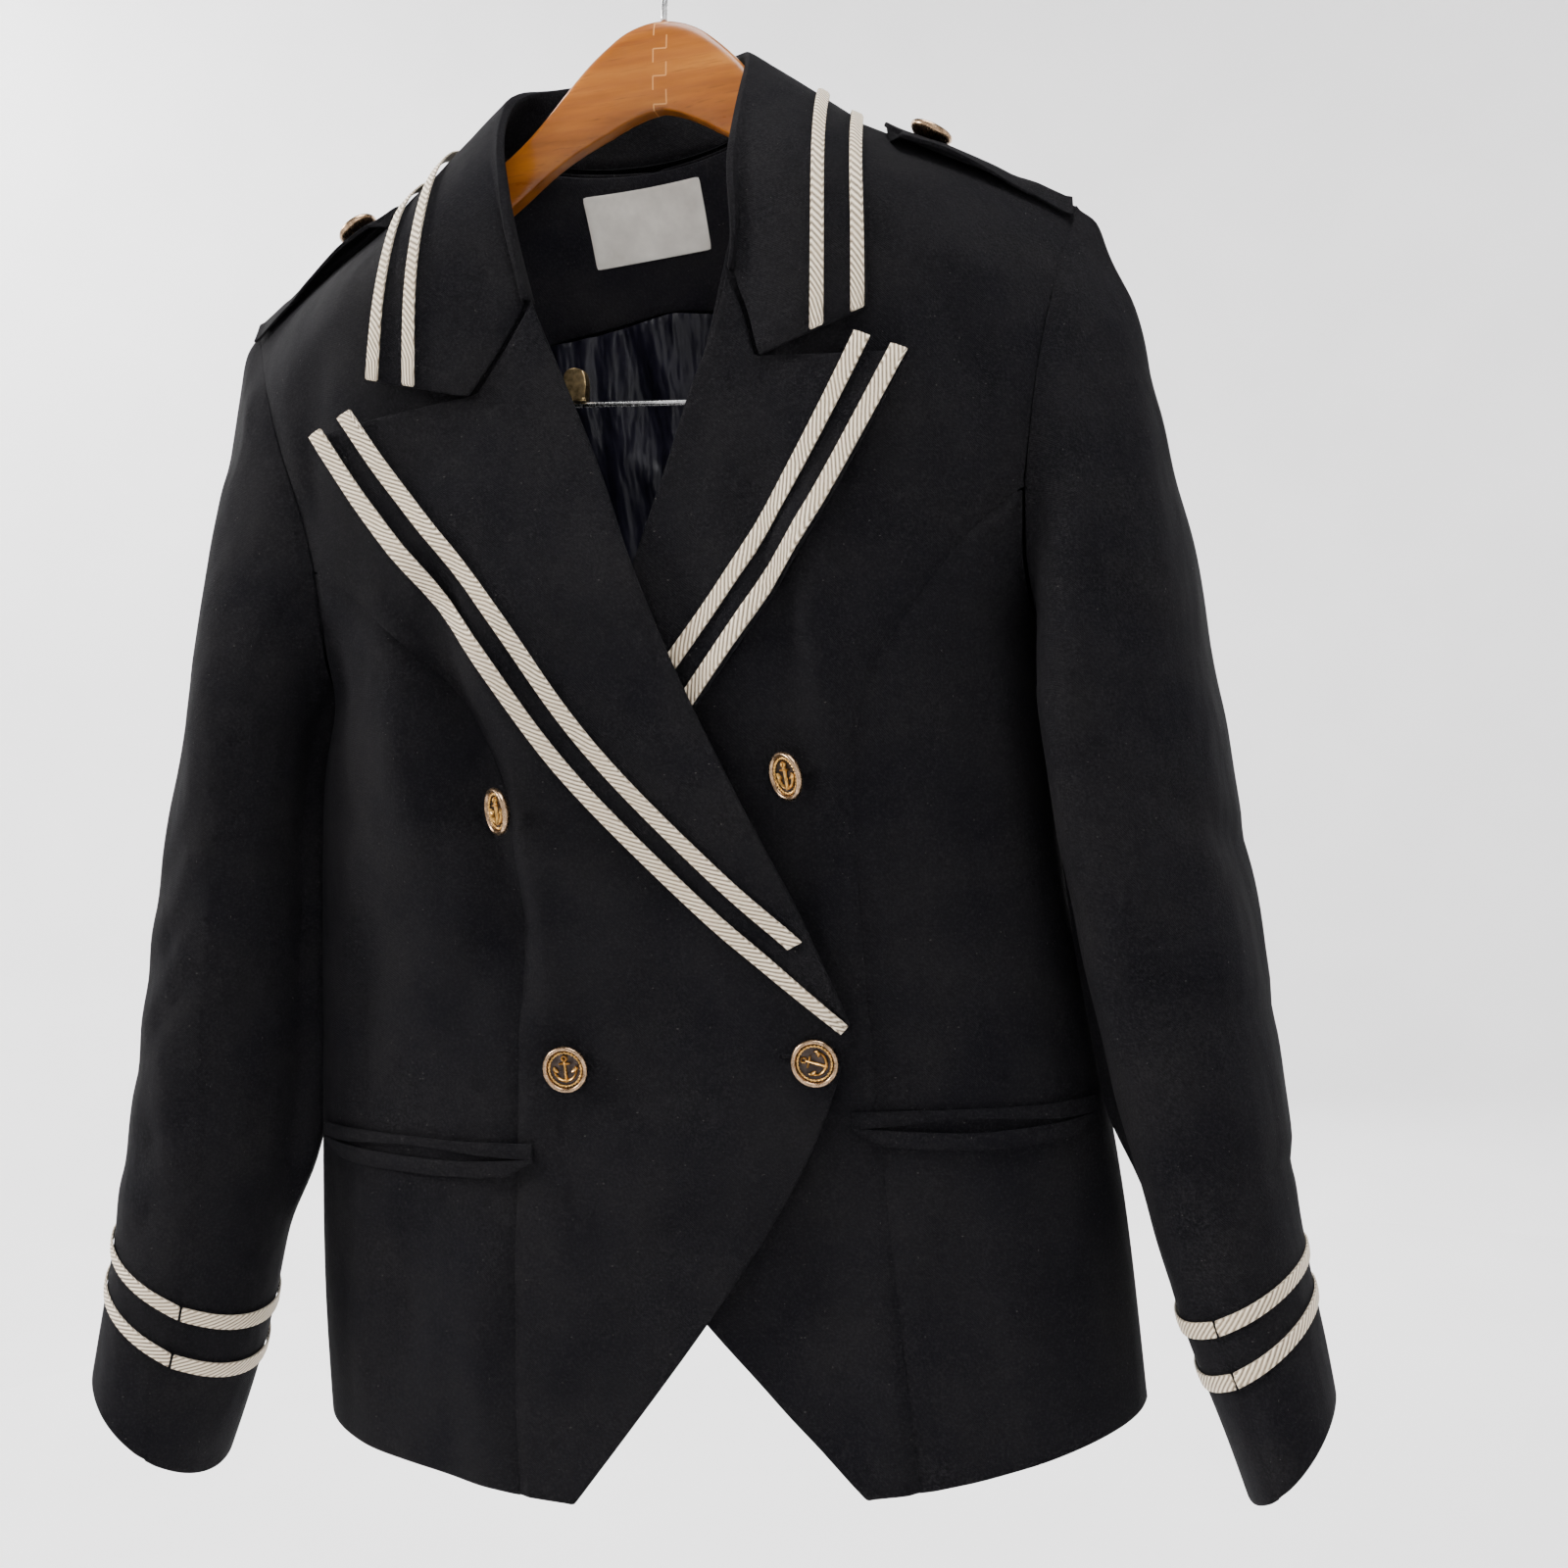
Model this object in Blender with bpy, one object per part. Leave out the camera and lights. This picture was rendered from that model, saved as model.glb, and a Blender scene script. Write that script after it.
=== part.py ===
"""A double-breasted nautical blazer with peak lapels, hung flat on a contoured wooden hanger.

The origin is the point inside the hook that rests on a rail. X runs to the right as seen from the front,
the front faces -Y, and +Z is up. Cloth pieces are worked out in the garment's own frame, whose centre plane
lies GARMENT_X beside the hook, and a piece of the wearer's right or left side is worked out with X counted
outward from that plane. "Top" pieces belong to the wearer's right front, which laps over the left.
"""

import math

import bpy
import bmesh
import numpy as np
from mathutils import Matrix, Vector

# Driving dimensions, in metres
GARMENT_X = -0.028          # garment's centre plane, from the hook
CLOTH = 0.0016              # wall of a single layer of suiting
DOUBLE = 0.0020             # lapel, collar and epaulette: two layers, pressed
GAP = 0.0003                # between pieces that touch
SEAM = GAP / 2              # each piece stops this far from its seam
LAP = 0.0086                # the top front stands this far off where it laps over the left one
BRAID_WIDTH = 0.0064
BRAID_THICK = 0.0012
BRAID_SECTION = ((0, 0.7), (1, 1.0), (2, 0.7))    # half widths across, share of the thickness
BRAID_INSET = 0.0010         # from the cloth's edge to the outer braid
COLLAR_SPACING = 0.0122     # bare cloth between the collar's two braids
LAPEL_SPACING = 0.0092      # and between a lapel's two
BUTTON_RADIUS = 0.0108
ROUND_DEPTH = 0.078         # how far in from a shoulder or side the front rounds over

# Shoulder seam: straight from neck point to shoulder tip
NECK_X, NECK_Z = 0.078, -0.110
TIP_X, TIP_Z = 0.2036, -0.181
RIDGE_Y = -0.008
SHOULDER_FALL = (NECK_Z - TIP_Z) / (TIP_X - NECK_X)
RIDGE_NORMAL = np.array([SHOULDER_FALL, 0.0, 1.0]) / math.hypot(SHOULDER_FALL, 1.0)

RIGHT, LEFT = -1, 1          # the wearer's right is on the viewer's left
UP = np.array([0.0, 0.0, 1.0])

# Armhole down to the armpit, then the side seam down to the hem:
# height, distance out on the wearer's right and left, depth of the front edge and of the back edge
SIDE = (
    # z,     right,   left,    front,   back
    (-0.181, 0.2036, 0.2036, -0.008, -0.008),
    (-0.196, 0.1960, 0.2000, -0.026, 0.012),
    (-0.220, 0.1865, 0.1915, -0.041, 0.026),
    (-0.252, 0.1750, 0.1825, -0.050, 0.033),
    (-0.281, 0.1650, 0.1770, -0.054, 0.036),
    (-0.309, 0.1610, 0.1720, -0.054, 0.036),
    (-0.338, 0.1625, 0.1690, -0.049, 0.030),
    (-0.360, 0.1680, 0.1700, -0.034, 0.015),
    (-0.374, 0.1740, 0.1735, -0.010, -0.010),
    (-0.395, 0.1825, 0.1740, -0.010, -0.010),
    (-0.420, 0.1880, 0.1735, -0.010, -0.010),
    (-0.455, 0.1925, 0.1735, -0.010, -0.010),
    (-0.490, 0.1970, 0.1760, -0.010, -0.010),
    (-0.535, 0.2020, 0.1800, -0.010, -0.010),
    (-0.580, 0.2070, 0.1850, -0.010, -0.010),
    (-0.630, 0.2120, 0.1895, -0.010, -0.010),
    (-0.675, 0.2150, 0.1910, -0.010, -0.010),
    (-0.724, 0.2160, 0.1920, -0.010, -0.010),
)
ARMPIT_ROW = 8
JUNCTION_ROW = 5             # where the princess seam leaves the armhole

# Depth of the middle of the front and of the back, by height
DEPTH = (
    # z,     front,   back
    (-0.060, -0.040, 0.018),
    (-0.110, -0.054, 0.026),
    (-0.150, -0.062, 0.034),
    (-0.200, -0.067, 0.041),
    (-0.250, -0.069, 0.044),
    (-0.330, -0.071, 0.044),
    (-0.420, -0.068, 0.038),
    (-0.500, -0.060, 0.034),
    (-0.560, -0.056, 0.037),
    (-0.620, -0.057, 0.041),
    (-0.700, -0.061, 0.046),
    (-0.780, -0.064, 0.048),
)

# Princess seam, from the armhole to the hem: height, distance out on each side
PRINCESS = (
    # z,     right,   left
    (-0.309, 0.1610, 0.1720),
    (-0.322, 0.1410, 0.1530),
    (-0.338, 0.1250, 0.1370),
    (-0.358, 0.1010, 0.1200),
    (-0.382, 0.0840, 0.1020),
    (-0.412, 0.0700, 0.0915),
    (-0.450, 0.0670, 0.0880),
    (-0.490, 0.0690, 0.0865),
    (-0.5405, 0.0770, 0.0855),
    (-0.590, 0.0825, 0.0860),
    (-0.640, 0.0880, 0.0875),
    (-0.690, 0.0920, 0.0895),
    (-0.7450, 0.0940, 0.0910),
)

# Inner edge of a front: neck, then roll line, then the cut-away edge down to the point of the hem
INNER_EDGE = (
    # z,     right (top), left (under)
    (-0.110, 0.0780, 0.0780),
    (-0.135, 0.0610, 0.0700),
    (-0.160, 0.0470, 0.0650),
    (-0.185, 0.0405, 0.0580),
    (-0.215, 0.0340, 0.0490),
    (-0.245, 0.0235, 0.0390),
    (-0.270, 0.0140, 0.0290),
    (-0.295, 0.0060, 0.0180),
    (-0.324, -0.0010, 0.0040),
    (-0.355, -0.0110, -0.0090),
    (-0.390, -0.0230, -0.0220),
    (-0.430, -0.0390, -0.0380),
    (-0.470, -0.0550, -0.0540),
    (-0.5405, -0.0790, -0.0790),
    (-0.590, -0.0590, -0.0590),
    (-0.640, -0.0240, -0.0240),
    (-0.690, 0.0170, 0.0170),
    (-0.7480, 0.0670, 0.0670),
)

# Outer edge of a lapel, from the peak down to the break
LAPEL_EDGE = (
    # z,     right (top), left (under), how far it stands off the front
    (-0.2520, 0.1420, 0.1290, 0.0110),
    (-0.2860, 0.1235, 0.1080, 0.0070),
    (-0.3200, 0.0990, 0.0855, 0.0040),
    (-0.3540, 0.0750, 0.0590, 0.0020),
    (-0.3900, 0.0563, 0.0240, 0.0005),
    (-0.4200, 0.0367, -0.0030, 0.0),
    (-0.4550, 0.0075, -0.0290, 0.0),
    (-0.4800, -0.0143, -0.0430, 0.0),
    (-0.5050, -0.0390, -0.0580, 0.0),
    (-0.5375, -0.0750, -0.0750, 0.0),
)
# Roll line heights that face the rows of LAPEL_EDGE
ROLL_ROWS = (-0.206, -0.245, -0.280, -0.318, -0.355, -0.390, -0.430, -0.462, -0.494, -0.5335)
# Gorge and top edge of a lapel, across from the roll line: share, height, distance out on each side
GORGE = (
    # share, z,    right,   left
    (0.0, -0.2060, 0.0350, 0.0500),
    (0.12, -0.2430, 0.0630, 0.0620),
    (0.34, -0.2450, 0.0860, 0.0790),
    (0.67, -0.2485, 0.1160, 0.1045),
    (1.0, -0.2520, 0.1420, 0.1290),
)
LAPEL_SHARES = (0.0, 0.12, 0.34, 0.67, 1.0)

# Collar, from the middle of the back to its front end: the fold's X on the right and left, its depth and
# height, then the outer edge's X on the right and left, its depth and height, and how far the fall bulges
COLLAR = (
    # right,  left,   y,      z,      out right, left,   y,       z,       bulge
    (0.0000, 0.0000, 0.0340, -0.0730, 0.0000, 0.0000, 0.0560, -0.1340, 0.006),
    (0.0200, 0.0240, 0.0320, -0.0725, 0.0360, 0.0360, 0.0550, -0.1345, 0.005),
    (0.0390, 0.0410, 0.0240, -0.0745, 0.0720, 0.0720, 0.0480, -0.1330, 0.002),
    (0.0500, 0.0520, 0.0080, -0.0800, 0.0980, 0.1000, 0.0270, -0.1280, -0.004),
    (0.0550, 0.0620, -0.0120, -0.0880, 0.1070, 0.1115, -0.0050, -0.1240, -0.008),
    (0.0540, 0.0620, -0.0380, -0.1120, 0.1055, 0.1150, -0.0420, -0.1440, -0.002),
    (0.0480, 0.0610, -0.0600, -0.1400, 0.1045, 0.1170, -0.0660, -0.1700, 0.004),
    (0.0415, 0.0570, -0.0730, -0.1700, 0.1100, 0.1170, -0.0740, -0.2000, 0.006),
    (0.0355, 0.0500, -0.0780, -0.2040, 0.1150, 0.1150, -0.0760, -0.2300, 0.006),
)
# Foot of the collar at the neck seam, for the same rows
COLLAR_FOOT = (
    # right,  left,   y,      z
    (0.0000, 0.0000, 0.0290, -0.1180),
    (0.0240, 0.0240, 0.0270, -0.1170),
    (0.0450, 0.0450, 0.0215, -0.1145),
    (0.0620, 0.0620, 0.0110, -0.1105),
    (0.0755, 0.0760, -0.0080, -0.1070),
    (0.0640, 0.0680, -0.0320, -0.1210),
    (0.0530, 0.0630, -0.0500, -0.1450),
    (0.0410, 0.0560, -0.0600, -0.1740),
    (0.0335, 0.0485, -0.0660, -0.2040),
)
FOLD_RADIUS = 0.0032

# Sleeves below the armpit: height of the ring's middle, inner and outer edge, front and back depth,
# how far the ring leans outward towards the back, and its rise from the inner to the outer edge
SLEEVE_RIGHT = (
    # z,     inner,  outer,  front,   back,   lean,  rise
    (-0.400, 0.1880, 0.2590, -0.074, 0.024, 0.20, 0.000),
    (-0.440, 0.1955, 0.2690, -0.074, 0.024, 0.12, 0.003),
    (-0.490, 0.2025, 0.2810, -0.074, 0.023, 0.08, 0.006),
    (-0.540, 0.2080, 0.2920, -0.074, 0.021, 0.05, 0.014),
    (-0.590, 0.2170, 0.3010, -0.075, 0.017, 0.05, 0.028),
    (-0.628, 0.2300, 0.3090, -0.077, 0.012, 0.05, 0.042),
    (-0.6475, 0.2370, 0.3110, -0.0775, 0.011, 0.05, 0.050),
    (-0.6695, 0.2450, 0.3160, -0.078, 0.009, 0.05, 0.053),
    (-0.696, 0.2570, 0.3220, -0.079, 0.006, 0.05, 0.058),
    (-0.717, 0.2670, 0.3265, -0.080, 0.003, 0.05, 0.061),
)
SLEEVE_LEFT = (
    # z,     inner,  outer,  front,   back,   lean,  rise
    (-0.400, 0.1760, 0.2435, -0.078, 0.024, 0.42, 0.000),
    (-0.440, 0.1770, 0.2480, -0.078, 0.024, 0.42, 0.000),
    (-0.490, 0.1800, 0.2555, -0.077, 0.023, 0.34, 0.002),
    (-0.540, 0.1840, 0.2605, -0.076, 0.021, 0.24, 0.004),
    (-0.590, 0.1920, 0.2630, -0.076, 0.017, 0.14, 0.010),
    (-0.636, 0.2030, 0.2640, -0.077, 0.012, 0.08, 0.022),
    (-0.6610, 0.2085, 0.2655, -0.0775, 0.010, 0.06, 0.030),
    (-0.6815, 0.2155, 0.2675, -0.078, 0.008, 0.05, 0.036),
    (-0.705, 0.2240, 0.2705, -0.079, 0.004, 0.04, 0.041),
    (-0.729, 0.2310, 0.2725, -0.080, 0.000, 0.04, 0.045),
)
CAP_RINGS = 6                # rings between the armhole and the first row of a sleeve
CUFF_BRAID_ROWS = (6, 7)     # rows of a sleeve's table that carry the upper and lower braid

# Hanger, in its own upright frame, from its middle outward: distance, top, bottom, half thickness, depth
HANGER = (
    # x,     top,     bottom,  half,   y
    (0.000, -0.0670, -0.1085, 0.0070, -0.0080),
    (0.012, -0.0690, -0.1100, 0.0070, -0.0080),
    (0.026, -0.0760, -0.1150, 0.0070, -0.0084),
    (0.040, -0.0895, -0.1230, 0.0066, -0.0092),
    (0.054, -0.1065, -0.1350, 0.0062, -0.0096),
    (0.068, -0.1215, -0.1475, 0.0064, -0.0096),
    (0.086, -0.1345, -0.1600, 0.0070, -0.0092),
    (0.110, -0.1480, -0.1730, 0.0076, -0.0090),
    (0.140, -0.1665, -0.1910, 0.0082, -0.0090),
    (0.166, -0.1825, -0.2040, 0.0086, -0.0090),
    (0.174, -0.1885, -0.2020, 0.0066, -0.0090),
)
HANGER_TILT = math.radians(6.0)
HOOK_WIRE = 0.0036
HOOK_INNER_RADIUS = 0.019
BAR_WIRE = 0.0030

# Colours
CLOTH_COLOR = (0.012, 0.013, 0.018, 1.0)
BRAID_COLOR = (0.62, 0.56, 0.46, 1.0)
LINING_COLOR = (0.010, 0.011, 0.018, 1.0)
LABEL_COLOR = (0.62, 0.62, 0.62, 1.0)
WOOD_COLOR = (0.42, 0.155, 0.045, 1.0)
SILVER_COLOR = (0.66, 0.60, 0.56, 1.0)
GOLD_COLOR = (0.78, 0.52, 0.20, 1.0)
STEEL_COLOR = (0.60, 0.60, 0.60, 1.0)


# Tables and small maths

def smooth_column(rows, key, column):
    """A smooth curve through one column of a table, read at a value of its first column."""
    rising = sorted(rows, key=lambda row: row[0])
    keys = [row[0] for row in rising]
    values = [row[column] for row in rising]
    key = min(max(key, keys[0]), keys[-1])
    i = min(max(int(np.searchsorted(keys, key)) - 1, 0), len(keys) - 2)

    def slope(j):
        low = max(j - 1, 0)
        high = min(j + 1, len(keys) - 1)
        return (values[high] - values[low]) / (keys[high] - keys[low])

    span = keys[i + 1] - keys[i]
    t = (key - keys[i]) / span
    start = (2 * t**3 - 3 * t**2 + 1) * values[i] + (t**3 - 2 * t**2 + t) * span * slope(i)
    end = (3 * t**2 - 2 * t**3) * values[i + 1] + (t**3 - t**2) * span * slope(i + 1)
    return start + end


def step(value):
    """0 below 0, 1 above 1, smooth between."""
    value = min(max(value, 0.0), 1.0)
    return value * value * (3 - 2 * value)


def quarter_round(share, power):
    """0 at an edge, 1 at full depth; a power of 0.5 leaves the edge at a right angle."""
    return math.sin(min(max(share, 0.0), 1.0) * math.pi / 2) ** power


def unit(vector):
    vector = np.asarray(vector, float)
    return vector / np.linalg.norm(vector)


def lerp(a, b, t):
    return a + (b - a) * t


# The worn form: depth of the front and back at any place, X counted outward on one side

def side_x(side, z):
    return smooth_column(SIDE, z, 1 if side == RIGHT else 2)


def shoulder_z(x):
    return NECK_Z - SHOULDER_FALL * (x - NECK_X)


def lap(x, z):
    """How far the top front stands off the under one."""
    return LAP * step((0.142 - x) / 0.052) * step((-0.255 - z) / 0.075)


def form_y(side, face, x, z):
    """Depth of the outer face of the cloth, with x outward; past the middle the other side's edge holds."""
    column = 1 if face == "front" else 2
    own = side if x >= 0 else -side
    out = abs(x)
    edge_z = max(z, SIDE[-1][0])
    middle = smooth_column(DEPTH, z, column)
    edge = smooth_column(SIDE, edge_z, column + 2)
    power = lerp(1.0, 0.5, step((-0.330 - z) / 0.050))
    across = quarter_round((side_x(own, edge_z) - out) / ROUND_DEPTH, power)
    down = quarter_round((shoulder_z(out) - z) / ROUND_DEPTH, 0.5)
    seam = SEAM if face == "back" else -SEAM
    ridge = RIDGE_Y + seam
    y = ridge + down * (edge + seam - ridge + (middle - edge - seam) * across)
    if face == "front":
        y -= bust(out, z)
        y += creases(side, x, z)
    return y


def bust(out, z):
    return 0.007 * math.exp(-(((out - 0.095) / 0.055) ** 2) - ((z + 0.365) / 0.070) ** 2)


# Largest soft folds of the fronts: side, from (x, z) to (x, z), half width, depth (a ridge is negative)
CREASES = (
    # side,  x0,    z0,     x1,    z1,     half,  depth
    (RIGHT, 0.118, -0.330, 0.070, -0.405, 0.016, 0.0050),
    (RIGHT, 0.086, -0.445, 0.092, -0.520, 0.018, 0.0035),
    (RIGHT, 0.125, -0.560, 0.130, -0.700, 0.022, -0.0025),
    (LEFT, 0.062, -0.330, 0.060, -0.400, 0.013, -0.0035),
    (LEFT, 0.112, -0.470, 0.118, -0.560, 0.020, 0.0030),
    (LEFT, 0.135, -0.600, 0.132, -0.700, 0.022, -0.0025),
)


def creases(side, x, z):
    total = 0.0
    for fold_side, x0, z0, x1, z1, half, depth in CREASES:
        if fold_side != side:
            continue
        run = (x1 - x0) ** 2 + (z1 - z0) ** 2
        along = min(max(((x - x0) * (x1 - x0) + (z - z0) * (z1 - z0)) / run, 0.0), 1.0)
        away = math.hypot(x - lerp(x0, x1, along), z - lerp(z0, z1, along))
        total += depth * math.exp(-((away / half) ** 2))
    return total


def front_point(side, x, z, lifted):
    y = form_y(side, "front", x, z)
    if lifted:
        y -= lap(x, z)
    return np.array([x, y, z])


def front_normal(side, x, z, lifted):
    """Outward normal of the front, from steps towards the middle and down so that edges keep their own."""
    h = 2e-5
    here = front_point(side, x, z, lifted)
    if z > shoulder_z(x) - h:
        return RIDGE_NORMAL
    inward = front_point(side, x - math.copysign(h, x), z, lifted) - here
    down = front_point(side, x, z - h, lifted) - here
    normal = unit(np.cross(inward, down))
    return normal if normal[1] < 0 else -normal


def back_point(side, x, z):
    return np.array([x, form_y(side, "back", x, z), z])


def back_normal(side, x, z):
    h = 2e-5
    here = back_point(side, x, z)
    if z > shoulder_z(x) - h and x > NECK_X - h:
        return RIDGE_NORMAL
    inward = back_point(side, x - h, z) - here
    down = back_point(side, x, z - h) - here
    normal = unit(np.cross(inward, down))
    return normal if normal[1] > 0 else -normal


# Making objects

def material(name, color, rough, metal=0.0):
    found = bpy.data.materials.get(name)
    if found:
        return found
    made = bpy.data.materials.new(name)
    made.use_nodes = True
    shader = made.node_tree.nodes["Principled BSDF"]
    shader.inputs["Base Color"].default_value = color
    shader.inputs["Roughness"].default_value = rough
    shader.inputs["Metallic"].default_value = metal
    return made


def cloth_material():
    return material("suiting", CLOTH_COLOR, 0.9)


def braid_material():
    return material("braid", BRAID_COLOR, 0.7)


def add_object(name, verts, faces, look):
    """A mesh object with its faces turned out and smooth shading that keeps hard edges."""
    mesh = bpy.data.meshes.new(name)
    mesh.from_pydata([tuple(v) for v in verts], [], faces)
    bm = bmesh.new()
    bm.from_mesh(mesh)
    bmesh.ops.recalc_face_normals(bm, faces=bm.faces)
    if bm.calc_volume(signed=True) < 0:
        bmesh.ops.reverse_faces(bm, faces=bm.faces)
    bm.to_mesh(mesh)
    bm.free()
    mesh.shade_smooth()
    mesh.set_sharp_from_angle(angle=math.radians(40))
    mesh.materials.append(look)
    made = bpy.data.objects.new(name, mesh)
    bpy.context.scene.collection.objects.link(made)
    return made


def grid_faces(rows, columns, start, flip, middle=0):
    """Quads of a grid; both sides of a wall split along one diagonal, mirrored before the middle column."""
    faces = []
    for r in range(rows - 1):
        for c in range(columns - 1):
            a = start + r * columns + c
            b = a + columns
            quad = (a + 1, b + 1, b, a) if c < middle else (a, a + 1, b + 1, b)
            faces.append((quad[0], quad[3], quad[2], quad[1]) if flip else quad)
    return faces


def rim(rows, columns):
    """Indices round the border of a grid."""
    top = [c for c in range(columns)]
    right = [r * columns + columns - 1 for r in range(1, rows)]
    bottom = [(rows - 1) * columns + c for c in range(columns - 2, -1, -1)]
    left = [r * columns for r in range(rows - 2, 0, -1)]
    return top + right + bottom + left


def wall(name, outer, inner, look, side=LEFT, middle=0):
    """A closed wall between two grids of points; side -1 mirrors it to the wearer's right."""
    outer = np.asarray(outer, float)
    inner = np.asarray(inner, float)
    rows, columns = outer.shape[:2]
    count = rows * columns
    verts = np.concatenate([outer.reshape(-1, 3), inner.reshape(-1, 3)])
    verts = verts * np.array([side, 1, 1]) + np.array([GARMENT_X, 0, 0])
    faces = grid_faces(rows, columns, 0, False, middle) + grid_faces(rows, columns, count, True, middle)
    border = rim(rows, columns)
    for i, a in enumerate(border):
        b = border[(i + 1) % len(border)]
        faces.append((a, a + count, b + count, b))
    return add_object(name, verts, faces, look)


def lofted(name, loops, look, side=LEFT, shift=GARMENT_X):
    """A solid through loops of points, capped at both ends."""
    size = len(loops[0])
    verts = np.array([p for loop in loops for p in loop]) * np.array([side, 1, 1])
    verts = verts + np.array([shift, 0, 0])
    faces = []
    for r in range(len(loops) - 1):
        a = r * size
        b = a + size
        for c in range(size):
            d = (c + 1) % size
            faces.append((a + c, a + d, b + d, b + c))
    faces.append(tuple(range(size))[::-1])
    faces.append(tuple(range((len(loops) - 1) * size, len(loops) * size)))
    return add_object(name, verts, faces, look)


def patch_xz(left, right, shares, top=None, fade=4):
    """(x, z) places between two edges, row by row; top gives the first row its own line, faded out below."""
    grid = []
    for r, (a, b) in enumerate(zip(left, right)):
        row = []
        for c, share in enumerate(shares):
            place = lerp(np.array(a), np.array(b), share)
            if top is not None:
                first = lerp(np.array(left[0]), np.array(right[0]), share)
                place = place + (np.array(top[c]) - first) * max(0.0, 1 - r / fade)
            row.append(place)
        grid.append(row)
    return grid


def front_wall(name, side, places, low, high, lifted, look=None):
    """A layer on the front's form, between two heights above it. low and high are (row, column) functions."""
    outer, inner = [], []
    for r, row in enumerate(places):
        outer_row, inner_row = [], []
        for c, (x, z) in enumerate(row):
            point = front_point(side, x, z, lifted)
            normal = front_normal(side, x, z, lifted)
            outer_row.append(point + normal * high(r, c))
            inner_row.append(point + normal * low(r, c))
        outer.append(outer_row)
        inner.append(inner_row)
    return wall(name, outer, inner, look or cloth_material(), side)


def level(value):
    return lambda r, c: value


# Fronts, side fronts and backs

FRONT_SHARES = (0.0, 0.06, 0.15, 0.26, 0.38, 0.50, 0.62, 0.75, 0.88, 1.0)


def side_word(side):
    return "right" if side == RIGHT else "left"


def side_column(side):
    return 1 if side == RIGHT else 2


def make_front(side):
    column = side_column(side)
    inner = [(row[column], row[0]) for row in INNER_EDGE]
    armhole = [(row[column], row[0]) for row in SIDE[: JUNCTION_ROW + 1]]
    seam = [(row[column] - SEAM, row[0]) for row in PRINCESS[1:]]
    places = patch_xz(inner, armhole + seam, FRONT_SHARES)
    front_wall("front_" + side_word(side), side, places, level(-CLOTH), level(0.0), side == RIGHT)


def make_side_front(side):
    column = side_column(side)
    first_z = PRINCESS[0][0] - 0.0020
    share = (PRINCESS[0][0] - first_z) / (PRINCESS[0][0] - PRINCESS[1][0])
    start = (lerp(PRINCESS[0][column], PRINCESS[1][column], share) + 2 * SEAM, first_z)
    seam = [start] + [(row[column] + 2 * SEAM, row[0]) for row in PRINCESS[1:]]
    outer = [(side_x(side, first_z), first_z)]
    outer += [(row[column], row[0]) for row in SIDE[JUNCTION_ROW + 1:]]
    shares = [1 - (1 - i / 7) ** 2 for i in range(8)]
    places = patch_xz(seam, outer, shares)
    front_wall("side_front_" + side_word(side), side, places, level(-CLOTH), level(0.0), side == RIGHT)


BACK_NECK = ((0.0, -0.1220), (0.026, -0.1210), (0.052, -0.1175), (NECK_X, NECK_Z))
# Heights down the middle of the back that face the rows of SIDE
BACK_ROWS = (-0.1220, -0.1430, -0.1650, -0.1870, -0.2120, -0.2420, -0.2750, -0.3080, -0.3400)
BACK_ROWS += (-0.3750, -0.4100, -0.4450, -0.4800, -0.5200, -0.5650, -0.6100, -0.6550, -0.6970)
FACING_ROW = 3               # the facing ends and the lining begins here


def back_grid(side):
    """Outer points of one half of the back and their normals, from the middle to the side."""
    column = side_column(side)
    outer = [(row[column], row[0]) for row in SIDE]
    centre = [(SEAM, z) for z in BACK_ROWS]
    across = [x / TIP_X for x, _ in BACK_NECK] + [0.52, 0.66, 0.80, 0.91, 0.97, 1.0]
    top = list(BACK_NECK) + [(share * TIP_X, shoulder_z(share * TIP_X)) for share in across[4:]]
    top[0] = centre[0]
    places = patch_xz(centre, outer, across, top, fade=6)
    points = np.array([[back_point(side, x, z) for x, z in row] for row in places])
    normals = np.array([[back_normal(side, x, z) for x, z in row] for row in places])
    normals[:, 0] *= np.array([0, 1, 1])
    return points, normals / np.linalg.norm(normals, axis=2, keepdims=True)


BACK_SEAM = 5                # column of the back that carries the seam from shoulder to hem


def draw_in(grid, edge, beside, distance):
    """Moves an edge column of a grid towards the column beside it."""
    away = grid[:, beside] - grid[:, edge]
    grid[:, edge] += away / np.linalg.norm(away, axis=1, keepdims=True) * distance


def make_back(side):
    """A middle and a side panel, sewn together from the shoulder to the hem."""
    points, normals = back_grid(side)
    inner = points - normals * CLOTH
    last = points.shape[1] - 1
    panels = (("back_", 0, BACK_SEAM, -1, -2), ("side_back_", BACK_SEAM, last, 0, 1))
    for word, start, end, edge, beside in panels:
        grids = [grid[:, start:end + 1].copy() for grid in (points, inner)]
        for grid in grids:
            draw_in(grid, edge, beside, SEAM)
        wall(word + side_word(side), grids[0], grids[1], cloth_material(), side)


# Sleeves: rings from the armhole to the cuff

CAP_PUFF = {RIGHT: 0.010, LEFT: 0.023}    # how far the cap swells out past the shoulder tip
CAP_DRAW = {RIGHT: 0.13, LEFT: 0.02}      # how much the outer line slants before it hangs
HALF_RING = ARMPIT_ROW       # steps from the shoulder tip to the armpit, on the front and on the back
RING = 2 * HALF_RING
START_GAP = 0.0008


def armhole_loop(side):
    """Points round the armhole: shoulder tip, down the front to the armpit, and up the back."""
    column = side_column(side)
    down = [front_point(side, row[column], row[0], False) for row in SIDE[: ARMPIT_ROW + 1]]
    up = [back_point(side, row[column], row[0]) for row in SIDE[1:ARMPIT_ROW][::-1]]
    return down + up


def armhole_normals(side):
    """Normals of the body along the armhole, for the same points."""
    column = side_column(side)
    down = [front_normal(side, row[column], row[0], False) for row in SIDE[: ARMPIT_ROW + 1]]
    up = [back_normal(side, row[column], row[0]) for row in SIDE[1:ARMPIT_ROW][::-1]]
    return np.array(down + up)


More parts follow.
